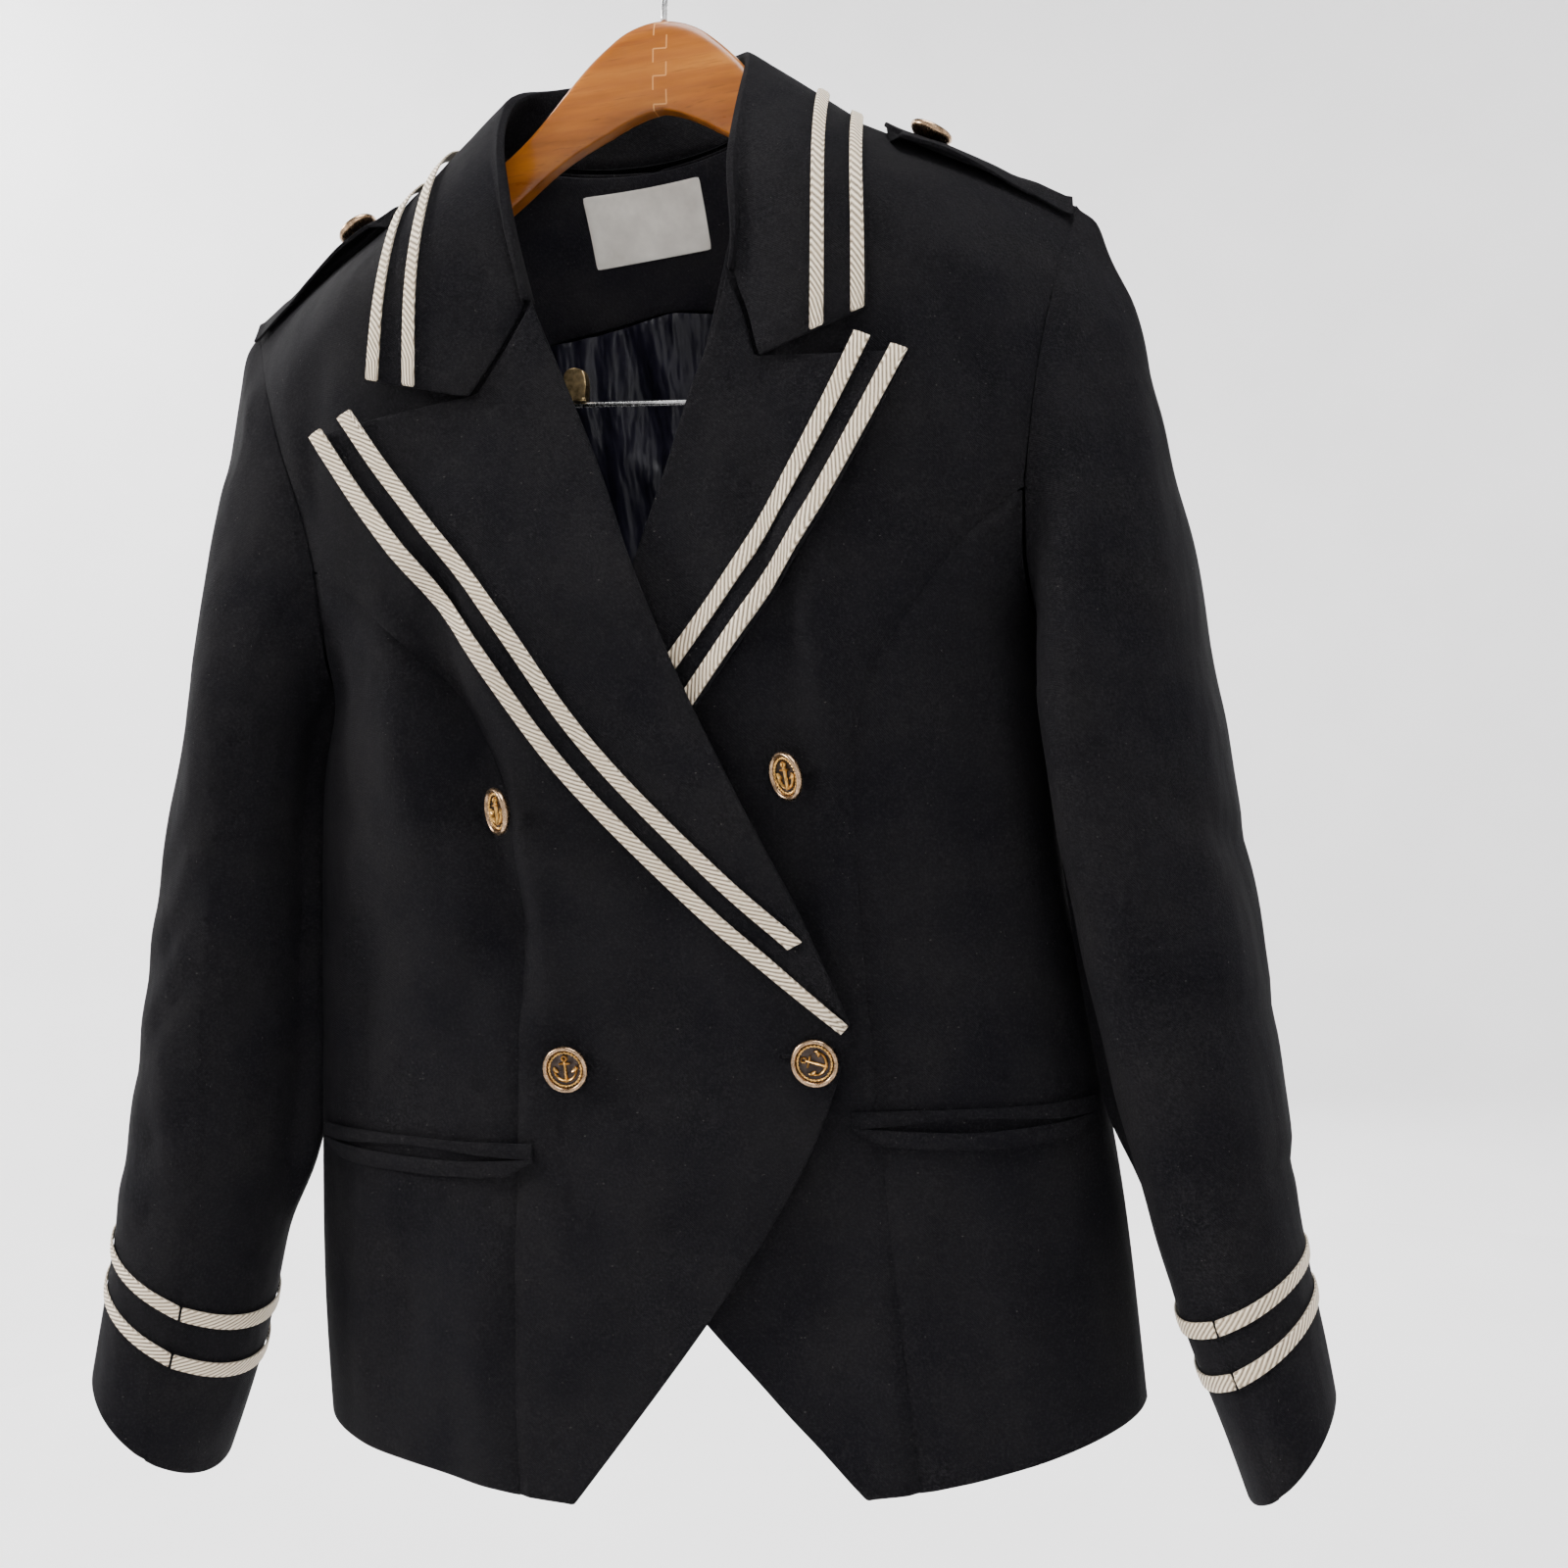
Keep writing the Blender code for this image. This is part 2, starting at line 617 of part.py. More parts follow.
def sleeve_ring(row):
    """One ring of the sleeve's table, with its points facing those of the armhole."""
    z, inner, outer, front, back, lean, rise = row
    middle = np.array([(inner + outer) / 2, (front + back) / 2, z])
    wide = (outer - inner) / 2
    deep = (back - front) / 2
    points = []
    for i in range(RING):
        angle = 2 * math.pi * i / RING
        dx = wide * math.cos(angle)
        dy = -deep * math.sin(angle)
        points.append(middle + np.array([dx + lean * dy, dy, rise * math.cos(angle) / 2]))
    return points


def sleeve_rings(side):
    table = SLEEVE_RIGHT if side == RIGHT else SLEEVE_LEFT
    start = armhole_loop(side)
    first = sleeve_ring(table[0])
    rings = []
    for k in range(CAP_RINGS):
        t = k / CAP_RINGS
        ring = []
        for i, (a, b) in enumerate(zip(start, first)):
            upper = (1 + math.cos(2 * math.pi * i / RING)) / 2
            out = np.array([0.74, 0.0, -0.67]) * (0.008 + CAP_PUFF[side] * upper)
            length = np.linalg.norm(b - a)
            p1 = a + out
            p2 = b + np.array([-CAP_DRAW[side] * upper, 0.0, 0.45]) * length
            s = t + START_GAP / max(length, 0.02) * (1 - t)
            ring.append((1 - s) ** 3 * a + 3 * (1 - s) ** 2 * s * p1 + 3 * (1 - s) * s * s * p2 + s**3 * b)
        rings.append(ring)
    return rings + [sleeve_ring(row) for row in table]


def tube_normals(rings):
    """Outward normals of a tube of rings, from its neighbours."""
    grid = np.array(rings)
    around = np.roll(grid, -1, axis=1) - np.roll(grid, 1, axis=1)
    along = np.gradient(grid, axis=0)
    normals = np.cross(along, around)
    normals /= np.linalg.norm(normals, axis=2, keepdims=True)
    middle = grid.mean(axis=1, keepdims=True)
    if ((grid - middle) * normals).sum() < 0:
        normals = -normals
    return normals


UPPER_SLEEVE = (-5, 5)       # ring steps from the back seam round the outside to the front seam


SLEEVE_SEAM = 0.00021        # each half of a sleeve stops this far from its seams
SEAM_FOLLOWS = 0.35          # a sleeve's first ring takes the body's normal where the two agree this far


def make_sleeve(side):
    rings = np.array(sleeve_rings(side))
    normals = tube_normals(rings)
    seam = armhole_normals(side)
    follows = (seam * normals[0]).sum(axis=1) > SEAM_FOLLOWS
    normals[0][follows] = seam[follows]
    inner = rings - normals * CLOTH
    spans = {"sleeve_upper_": range(UPPER_SLEEVE[0], UPPER_SLEEVE[1] + 1)}
    spans["sleeve_under_"] = range(UPPER_SLEEVE[1], RING + UPPER_SLEEVE[0] + 1)
    for word, span in spans.items():
        picks = [i % RING for i in span]
        outer_grid = rings[:, picks].copy()
        inner_grid = inner[:, picks].copy()
        for grid in (outer_grid, inner_grid):
            draw_in(grid, 0, 1, SLEEVE_SEAM)
            draw_in(grid, -1, -2, SLEEVE_SEAM)
        wall(word + side_word(side), outer_grid, inner_grid, cloth_material(), side)


CUFF_BRAID_JOIN = 0.0006     # each end of a cuff's braid stops this far from the seam


def make_cuff_braids(side):
    """Two braids round each cuff, meeting edge to edge at the front seam."""
    table = SLEEVE_RIGHT if side == RIGHT else SLEEVE_LEFT
    for word, row in zip(("upper", "lower"), CUFF_BRAID_ROWS):
        z = table[row][0]
        bands = []
        for edge in (-0.5, 0.0, 0.5):
            here = [smooth_column(table, z + edge * BRAID_WIDTH, c) for c in range(7)]
            bands.append(sleeve_ring(here))
        bands = np.array(bands)
        normals = tube_normals(bands[::-1])[::-1]
        start = UPPER_SLEEVE[1]
        loops = []
        for i in range(start, start + RING + 1):
            points = bands[:, i % RING]
            ns = normals[:, i % RING]
            if i in (start, start + RING):
                beside = bands[:, (i + (1 if i == start else -1)) % RING] - points
                points = points + beside / np.linalg.norm(beside, axis=1, keepdims=True) * CUFF_BRAID_JOIN
            under = [p + n * GAP * 2 for p, n in zip(points, ns)]
            over = [p + n * (GAP * 2 + BRAID_THICK * h) for p, n, (_, h) in zip(points, ns, BRAID_SECTION)]
            loops.append(under + over[::-1])
        lofted("cuff_braid_" + word + "_" + side_word(side), loops, braid_material(), side)


# Lapels and their braids

LAPEL_CLEAR = 0.0011         # between a lapel and the front beneath it
BRAID_CLEAR = 0.0010         # between a braid and the cloth it is sewn to
ROLL_KEEP = (0.80, 0.88, 0.96)    # how far across a lapel each line of a braid may reach
ROLL_OUT = 0.0012            # a lapel's roll line stands out past the front's edge


def lapel_places(side):
    column = side_column(side)
    roll = [(smooth_column(INNER_EDGE, z, column) - ROLL_OUT, z) for z in ROLL_ROWS]
    outer = [(row[column], row[0]) for row in LAPEL_EDGE]
    top = [(row[column + 1], row[1]) for row in GORGE]
    top[0] = roll[0]
    return patch_xz(roll, outer, LAPEL_SHARES, top, fade=3)


def stand_off(row, share):
    """How far a lapel's underside stands off the front."""
    return LAPEL_EDGE[row][3] * share**2 + LAPEL_CLEAR


def make_lapel(side):
    low = lambda r, c: stand_off(r, LAPEL_SHARES[c])
    high = lambda r, c: stand_off(r, LAPEL_SHARES[c]) + DOUBLE
    front_wall("lapel_" + side_word(side), side, lapel_places(side), low, high, side == RIGHT)


def lapel_place(side, row, inset, keep):
    """A place on the lapel a given distance in from its outer edge, no nearer the roll than keep lets it."""
    places = lapel_places(side)
    roll = places[row][0]
    edge = places[row][-1]
    before = places[max(row - 1, 0)][-1]
    after = places[min(row + 1, len(places) - 1)][-1]
    along = unit(after - before)
    across = unit(roll - edge)
    sine = abs(along[0] * across[1] - along[1] * across[0])
    run = inset / max(sine, 0.3)
    span = np.linalg.norm(roll - edge)
    share = min(run / span, keep)
    return edge + across * span * share, 1 - share


def make_lapel_braids(side):
    """Two braids along the outer edge of each lapel; the inner one ends where the lapel narrows."""
    second = BRAID_INSET + BRAID_WIDTH + LAPEL_SPACING
    ends = {"outer": (BRAID_INSET, len(LAPEL_EDGE) - 1), "inner": (second, len(LAPEL_EDGE) - 2)}
    for word, (inset, last) in ends.items():
        loops = []
        for row in range(last + 1):
            under, over = [], []
            for k, height in BRAID_SECTION:
                (x, z), share = lapel_place(side, row, inset + BRAID_WIDTH * k / 2, ROLL_KEEP[k])
                point = front_point(side, x, z, side == RIGHT)
                normal = front_normal(side, x, z, side == RIGHT)
                base = stand_off(row, share) + DOUBLE + BRAID_CLEAR
                under.append(point + normal * base)
                over.append(point + normal * (base + BRAID_THICK * height))
            loops.append(under + over[::-1])
        lofted("lapel_braid_" + word + "_" + side_word(side), loops, braid_material(), side)


# Collar: a stand that folds over at the neck, and its braids

FALL_SHARES = (0.10, 0.24, 0.42, 0.62, 0.82, 1.0)
NOTCH_X, NOTCH_Z = 0.066, -0.244
NOTCH_SHARE = 0.42           # where the notch comes along a front end, from the fold to the tip
COLLAR_BRAID_CLEAR = 0.0014
COLLAR_CLEAR = 0.0014        # between the collar's underside and the body, where it falls
STAND_IN = 0.0012            # the stand's foot lies this far inside the neck seam


def collar_stations():
    """Stations round the neck from the wearer's right front to the left: signed fold, outer edge and foot."""
    stations = []
    last = len(COLLAR) - 1
    for index in list(range(last, 0, -1)) + [0] + list(range(1, last + 1)):
        side = RIGHT if len(stations) < last else LEFT
        row = COLLAR[index]
        foot = COLLAR_FOOT[index]
        pick = 0 if side == RIGHT else 1
        fold_point = np.array([side * row[pick], row[2], row[3]])
        outer_point = np.array([side * row[4 + pick], row[6], row[7]])
        foot_point = np.array([side * foot[pick], foot[2], foot[3]])
        stations.append((side, index, fold_point, outer_point, foot_point))
    return stations


def clear_of_body(side, point, gap):
    """Moves a point of the fall out until it clears the shoulder and the fronts or backs."""
    x = abs(point[0])
    if x < 0.02:
        return point
    z = point[2]
    top = shoulder_z(x)
    if z >= top - 0.0005:
        z_free = top + gap * 1.3
        return np.array([point[0], point[1], max(z, z_free)]) if x > NECK_X else point
    front = form_y(side, "front", x, z) - gap
    back = form_y(side, "back", x, z) + gap
    y = min(point[1], front) if point[1] < RIDGE_Y else max(point[1], back)
    return np.array([point[0], y, z])


def collar_profile(station, tangent):
    """Visible face of the collar at one station: stand from foot to fold, then the fall to its edge."""
    side, index, fold_point, outer_point, foot_point = station
    up = unit(fold_point - foot_point)
    inward = unit(np.cross(tangent, up))
    neck_middle = np.array([0.008, -0.03, fold_point[2]])
    if np.dot(inward, neck_middle - fold_point) < 0:
        inward = -inward
    centre = fold_point - up * FOLD_RADIUS
    arc = []
    for degrees in (0, 60, 120, 180):
        angle = math.radians(degrees)
        arc.append(centre + FOLD_RADIUS * (math.cos(angle) * inward + math.sin(angle) * up))
    stand = [lerp(foot_point + inward * STAND_IN, arc[0], t) for t in (0.0, 0.5)]
    control = lerp(arc[-1], outer_point, 0.42) + up * COLLAR[index][8] - inward * 0.004
    if index == len(COLLAR) - 1:
        control = np.array([side * NOTCH_X, outer_point[1] - 0.003, NOTCH_Z])
    fall = []
    for t in FALL_SHARES:
        point = (1 - t) ** 2 * arc[-1] + 2 * t * (1 - t) * control + t * t * outer_point
        if index == len(COLLAR) - 1:
            point = notch_line(arc[-1], control, outer_point, t)
        fall.append(clear_of_body(side, point, DOUBLE + COLLAR_CLEAR))
    return stand + arc + fall


def notch_line(start, notch, tip, t):
    """The collar's front end: along the gorge to the notch, then out to the tip."""
    if t < NOTCH_SHARE:
        return lerp(start, notch, t / NOTCH_SHARE)
    return lerp(notch, tip, (t - NOTCH_SHARE) / (1 - NOTCH_SHARE))


def collar_grid():
    stations = collar_stations()
    folds = np.array([s[2] for s in stations])
    tangents = np.gradient(folds, axis=0)
    return np.array([collar_profile(s, t) for s, t in zip(stations, tangents)])


def grid_normals(grid, toward):
    """Normals of an open grid, turned to the side where the sum along toward is positive."""
    normals = np.cross(np.gradient(grid, axis=0), np.gradient(grid, axis=1))
    normals /= np.linalg.norm(normals, axis=2, keepdims=True)
    return normals if (normals * toward).sum() > 0 else -normals


def make_collar():
    grid = collar_grid()
    normals = grid_normals(grid, UP)
    wall("collar", grid, grid - normals * DOUBLE, cloth_material())


def make_collar_braids():
    """Two braids along the collar's outer edge, from one front end round the back to the other."""
    grid = collar_grid()
    normals = grid_normals(grid, UP)
    fall = len(FALL_SHARES)
    insets = {"outer": BRAID_INSET, "inner": BRAID_INSET + BRAID_WIDTH + COLLAR_SPACING}
    for word, inset in insets.items():
        loops = []
        for points, ns in zip(grid[:, -fall:], normals[:, -fall:]):
            lengths = np.concatenate([[0], np.cumsum(np.linalg.norm(np.diff(points[::-1], axis=0), axis=1))])
            under, over = [], []
            for k, height in BRAID_SECTION:
                distance = inset + BRAID_WIDTH * k / 2
                point = np.array([np.interp(distance, lengths, points[::-1, a]) for a in range(3)])
                normal = unit([np.interp(distance, lengths, ns[::-1, a]) for a in range(3)])
                under.append(point + normal * COLLAR_BRAID_CLEAR)
                over.append(point + normal * (COLLAR_BRAID_CLEAR + BRAID_THICK * height))
            loops.append(under + over[::-1])
        lofted("collar_braid_" + word, loops, braid_material())


# Epaulettes

EPAULETTE_LENGTH = (0.201, 0.119)
EPAULETTE_HALF = 0.020
EPAULETTE_BACK = 0.0055      # how far the strap's middle lies behind the shoulder seam at the sleeve
EPAULETTE_CLEAR = 0.0010
EPAULETTE_RISE = 0.0012      # further off the shoulder from the button's end inward
EPAULETTE_ROWS = (0.0, 0.15, 0.32, 0.50, 0.68, 0.84, 1.0)


def shoulder_point(x, y):
    """A place on the shoulder by distance out and depth: the front's or back's form solved for height."""
    face = "front" if y < RIDGE_Y else "back"
    low, high = shoulder_z(x) - 0.060, shoulder_z(x)
    for _ in range(40):
        middle = (low + high) / 2
        depth = form_y(LEFT, face, x, middle)
        above = depth > y if face == "front" else depth < y
        low, high = (low, middle) if above else (middle, high)
    return np.array([x, y, low])


def epaulette_grid():
    """Points of the strap: rows from the shoulder seam to the pointed end, columns from front to back."""
    grid = []
    for share in EPAULETTE_ROWS:
        x_row = lerp(EPAULETTE_LENGTH[0], EPAULETTE_LENGTH[1], share)
        row = []
        half = EPAULETTE_HALF * (1.0 if share < 1.0 else 0.55)
        for across in (-1.0, -0.5, 0.0, 0.5, 1.0):
            x = x_row + (0.010 * abs(across) if share == 1.0 else 0.0)
            y = RIDGE_Y + across * half + abs(across) * EPAULETTE_BACK * (1 - share)
            row.append(shoulder_point(x, y))
        grid.append(row)
    return np.array(grid)


def make_epaulette(side):
    grid = epaulette_grid()
    normals = grid_normals(grid, UP)
    lifts = [EPAULETTE_CLEAR + EPAULETTE_RISE * step(share / 0.4) for share in EPAULETTE_ROWS]
    lifts = np.array(lifts)[:, None, None]
    wall(
        "epaulette_" + side_word(side),
        grid + normals * (lifts + DOUBLE),
        grid + normals * lifts,
        cloth_material(),
        side,
    )


# Buttons: a turned metal body with a raised rim, and an anchor in relief

BUTTON_PROFILE = (
    # radius share, height
    (0.0, 0.0),
    (0.55, 0.0),
    (0.93, 0.0014),
    (1.0, 0.0030),
    (0.96, 0.0044),
    (0.84, 0.0046),
    (0.72, 0.0030),
    (0.0, 0.0028),
)
BUTTON_CLEAR = 0.0009        # between a button's lowest edge and the cloth


def place_matrix(side, point, normal, turn):
    """Local Z along the outward normal, local Y as far up as it goes, then turned in its plane."""
    point = np.array([side * point[0] + GARMENT_X, point[1], point[2]])
    normal = Vector((side * normal[0], normal[1], normal[2])).normalized()
    right = Vector((0, 0, 1)).cross(normal).normalized()
    up = normal.cross(right)
    frame = Matrix((right, up, normal)).transposed().to_4x4()
    return Matrix.Translation(Vector(point)) @ frame @ Matrix.Rotation(turn, 4, "Z")


def turned(name, profile, radius, look, steps=20):
    verts, faces = [(0.0, 0.0, profile[0][1])], []
    rings = profile[1:-1]
    for share, height in rings:
        for i in range(steps):
            angle = 2 * math.pi * i / steps
            verts.append((radius * share * math.cos(angle), radius * share * math.sin(angle), height))
    verts.append((0.0, 0.0, profile[-1][1]))
    for i in range(steps):
        j = (i + 1) % steps
        faces.append((0, 1 + j, 1 + i))
        for r in range(len(rings) - 1):
            a, b = 1 + r * steps, 1 + (r + 1) * steps
            faces.append((a + i, a + j, b + j, b + i))
        a = 1 + (len(rings) - 1) * steps
        faces.append((a + i, a + j, len(verts) - 1))
    return add_object(name, verts, faces, look)


ANCHOR_OUTLINE = (
    # right half of the anchor, from the top of the ring down, in shares of the button's radius
    (0.10, 0.54),
    (0.13, 0.44),
    (0.07, 0.37),
    (0.07, 0.30),
    (0.26, 0.30),
    (0.26, 0.20),
    (0.07, 0.20),
    (0.07, -0.34),
    (0.26, -0.26),
    (0.36, -0.12),
    (0.30, -0.02),
    (0.52, -0.02),
    (0.50, -0.18),
    (0.34, -0.40),
    (0.10, -0.52),
)


def make_anchor(name, radius):
    half = [(x * radius, y * radius) for x, y in ANCHOR_OUTLINE]
    outline = half + [(-x, y) for x, y in half[::-1]]
    base, top = 0.0028 + GAP, 0.0042
    verts = [(x, y, base) for x, y in outline] + [(x, y, top) for x, y in outline]
    size = len(outline)
    faces = [tuple(range(size))[::-1], tuple(range(size, 2 * size))]
    faces += [(i, (i + 1) % size, size + (i + 1) % size, size + i) for i in range(size)]
    return add_object(name, verts, faces, material("gold", GOLD_COLOR, 0.35, 1.0))


BUTTONS = (
    # name, side it is counted on, distance out, height, tip sideways, turn, dip of the cloth beneath it
    ("upper_right", RIGHT, 0.0650, -0.4280, -0.95, 0.0, 0.0021),
    ("upper_left", LEFT, 0.0660, -0.4220, -0.85, 0.0, 0.0),
    ("lower_right", RIGHT, 0.0530, -0.5480, 0.0, 0.0, 0.0),
    ("lower_left", RIGHT, -0.0625, -0.5500, 0.0, 1.25, 0.0),
)


def dress_button(name, matrix, radius):
    body = turned("button_" + name, BUTTON_PROFILE, radius, material("silver", SILVER_COLOR, 0.25, 1.0))
    anchor = make_anchor("anchor_" + name, radius)
    for piece in (body, anchor):
        piece.matrix_world = matrix


def make_buttons():
    for name, side, x, z, tip, turn, dip in BUTTONS:
        lifted = side == RIGHT
        point = front_point(side, x, z, lifted)
        normal = front_normal(side, x, z, lifted)
        tipped = unit(normal + np.array([tip * side, 0.0, 0.0]))
        cosine = np.dot(tipped, normal)
        sine = math.sqrt(max(0.0, 1 - cosine**2))
        low = max(share * BUTTON_RADIUS * sine - height * cosine for share, height in BUTTON_PROFILE)
        seat = point + normal * (low + BUTTON_CLEAR - dip)
        dress_button(name, place_matrix(side, seat, tipped, turn), BUTTON_RADIUS)


EPAULETTE_BUTTON_X = 0.139
EPAULETTE_BUTTON_LIFT = 0.0052   # from the shoulder to the button's back, over the strap


def make_epaulette_button(side):
    point = shoulder_point(EPAULETTE_BUTTON_X, RIDGE_Y - 0.004)
    beside = shoulder_point(EPAULETTE_BUTTON_X - 0.004, RIDGE_Y - 0.004) - point
    across = shoulder_point(EPAULETTE_BUTTON_X, RIDGE_Y + 0.004) - point
    normal = unit(np.cross(beside, across))
    normal = normal if normal[2] > 0 else -normal
    seat = point + normal * EPAULETTE_BUTTON_LIFT
    dress_button("epaulette_" + side_word(side), place_matrix(side, seat, normal, 0.0), BUTTON_RADIUS * 0.95)


# Jetted pockets: two narrow welts with the mouth a little open

POCKETS = {
    # x and height of the inner end, x and height of the outer end
    RIGHT: (0.0740, -0.5900, 0.1930, -0.5830),
    LEFT: (0.0750, -0.5825, 0.1790, -0.5860),
}
WELT = 0.0066
WELT_THICK = 0.0014
WELT_CLEAR = 0.0014
WELT_SECTION = (0.85, 1.25, 0.85)    # share of the thickness across a welt
MOUTH_OPEN = 0.0028
MOUTH_SAG = 0.0012           # how far the middle of the mouth hangs


def make_pocket(side):
    x0, z0, x1, z1 = POCKETS[side]
    shares = [i / 9 for i in range(10)]
    for word, sign in (("upper", 1), ("lower", -1)):
        places = []
        for share in shares:
            x = lerp(x0, x1, share)
            middle = lerp(z0, z1, share)
            bow = math.sin(math.pi * share)
            near = middle + sign * (GAP + MOUTH_OPEN * 0.5 * bow) - MOUTH_SAG * bow
            far = near + sign * WELT
            places.append([(x, near), (x, (near + far) / 2), (x, far)])
        high = lambda r, c: WELT_CLEAR + WELT_THICK * WELT_SECTION[c]
        name = "pocket_welt_" + word + "_" + side_word(side)
        front_wall(name, side, places, level(WELT_CLEAR), high, side == RIGHT)


# Inside: neck facing, back lining and a blank label, all set off the back's own grid

FACING_CLEAR = 0.0006        # between the facing and the back
FACING_THICK = 0.0012
FACING_COLUMN = 4.0          # how far out the facing reaches, in columns of the back
LINING_CLEAR = 0.0012
LINING_THICK = 0.0010
LINING_COLUMNS = (0.0, 0.35, 0.7, 1.0, 1.3, 1.6, 2.0, 2.35, 2.65, 3.0, 3.5, 4.0, 5.0, 6.0, 7.0, 7.4)
LINING_ROWS = (3.06, 3.5, 4.0, 4.5, 5.0, 6.0, 7.0, 8.0, 9.0, 10.0, 11.0, 12.0, 13.0, 14.0, 15.0, 16.0)
LINING_GATHERS = (
    # x,     half width, height
    (-0.060, 0.0080, 0.0050),
    (-0.034, 0.0070, 0.0040),
    (-0.010, 0.0070, 0.0055),
    (0.014, 0.0065, 0.0035),
    (0.036, 0.0070, 0.0050),
    (0.062, 0.0080, 0.0045),
)


def between(grid, row, column):
    """A value between the rows and columns of a grid, on its flat faces."""
    r = min(int(row), grid.shape[0] - 2)
    c = min(int(column), grid.shape[1] - 2)
    near = lerp(grid[r, c], grid[r, c + 1], column - c)
    far = lerp(grid[r + 1, c], grid[r + 1, c + 1], column - c)
    return lerp(near, far, row - r)


def back_inside(column, row):
    """A place on the back's outer grid and its normal; a negative column counts out on the wearer's right."""
    side = LEFT if column >= 0 else RIGHT
    points, normals = back_grid(side)
    mirror = np.array([side, 1, 1])
    return between(points, row, abs(column)) * mirror, between(normals, row, abs(column)) * mirror


def inside_wall(name, columns, rows, clear, thick, look, ripple=None):
    """A layer inside the back, a given distance off the suiting's inner face."""
    outer, inner = [], []
    for row in rows:
        outer_row, inner_row = [], []
        for column in columns:
            point, normal = back_inside(column, row)
            depth = CLOTH + clear + (ripple(point) if ripple else 0.0)
            outer_row.append(point - normal * depth)
            inner_row.append(point - normal * (depth + thick))
        outer.append(outer_row)
        inner.append(inner_row)
    return wall(name, outer, inner, look, middle=len(columns) // 2)


def both_sides(columns):
    return [-c for c in columns[:0:-1]] + list(columns)


def lining_ripple(point):
    fade = step((BACK_ROWS[FACING_ROW] - 0.002 - point[2]) / 0.018)
    fade *= 1 - 0.75 * step((-0.300 - point[2]) / 0.120)
    return fade * sum(h * math.exp(-(((point[0] - x0) / w) ** 2)) for x0, w, h in LINING_GATHERS)


def make_facing():
    columns = both_sides((0.0, 1.0, 2.0, 3.0, FACING_COLUMN))
    rows = (0.04, 1.0, 2.0, FACING_ROW - 0.01)
    inside_wall("neck_facing", columns, rows, FACING_CLEAR, FACING_THICK, cloth_material())


def make_lining():
    look = material("lining", LINING_COLOR, 0.35)
    columns = both_sides(LINING_COLUMNS)
    inside_wall("back_lining", columns, LINING_ROWS, LINING_CLEAR, LINING_THICK, look, lining_ripple)


LABEL_HALF_WIDTH, LABEL_HALF_HEIGHT = 0.0300, 0.0165
LABEL_MIDDLE = (-0.0055, -0.1465)
LABEL_TURN = math.radians(1.5)
LABEL_CLEAR = 0.0006
LABEL_THICK = 0.0008
COLUMN_WIDTH, ROW_HEIGHT = 0.026, 0.022    # about one cell of the back's grid behind the neck


def inside_at(x, z, depth):
    """The place at x and z on a layer a given depth inside the back's outer face, found by steps."""
    column, row = x / COLUMN_WIDTH, 1.0
    for _ in range(12):
        point, normal = back_inside(column, row)
        place = point - normal * depth
        column += (x - place[0]) / COLUMN_WIDTH
        row += (place[2] - z) / ROW_HEIGHT
    return place


def make_label():
    """Sewn flat on the facing, a little askew."""
    depth = CLOTH + FACING_CLEAR + FACING_THICK + LABEL_CLEAR
    near = []
    for v in (1.0, 0.0, -1.0):
        row = []
        for u in (-1.0, -0.5, 0.0, 0.5, 1.0):
            dx, dz = u * LABEL_HALF_WIDTH, v * LABEL_HALF_HEIGHT
            x = LABEL_MIDDLE[0] + dx * math.cos(LABEL_TURN) - dz * math.sin(LABEL_TURN)
            z = LABEL_MIDDLE[1] + dx * math.sin(LABEL_TURN) + dz * math.cos(LABEL_TURN)
            row.append(inside_at(x, z, depth))
        near.append(row)
    near = np.array(near)
    wall("label", near, near - np.array([0.0, LABEL_THICK, 0.0]), material("label", LABEL_COLOR, 0.45))


# Hanger: shaped wood, wire hook, trouser bar and its clip

def tilt(point):
    """From the hanger's upright frame to the row's: turned about the hook's contact point."""
    x, y, z = point
    cosine, sine = math.cos(HANGER_TILT), math.sin(HANGER_TILT)
    return np.array([x * cosine + z * sine, y, z * cosine - x * sine])


def hanger_loop(x, row):
    """A rounded section across the arm, with a narrow bevel along its lower edge."""
    _, top, bottom, half, y = row
    height = top - bottom
    outline = (
        (-0.55, 1.0), (0.55, 1.0), (1.0, 0.88), (1.0, 0.5), (1.0, 0.16), (0.62, 0.02),
        (-0.62, 0.02), (-1.0, 0.16), (-1.0, 0.5), (-1.0, 0.88),
    )
    return [tilt((x, y + half * u, bottom + height * v)) for u, v in outline]


def make_hanger():
    loops = []
    for row in HANGER[::-1]:
        loops.append(hanger_loop(-row[0], row))
    for row in HANGER[1:]:
        loops.append(hanger_loop(row[0], row))
    look = material("wood", WOOD_COLOR, 0.3)
    lofted("hanger_wood", loops, look, shift=0.0)


def make_wire(name, points, diameter, look):
    curve = bpy.data.curves.new(name, "CURVE")
    curve.dimensions = "3D"
    curve.bevel_depth = diameter / 2
    curve.bevel_resolution = 2
    curve.use_fill_caps = True
    spline = curve.splines.new("POLY")
    spline.points.add(len(points) - 1)
    for slot, point in zip(spline.points, points):
        slot.co = (*point, 1.0)
    curve.materials.append(look)
    made = bpy.data.objects.new(name, curve)
    bpy.context.scene.collection.objects.link(made)
    return made


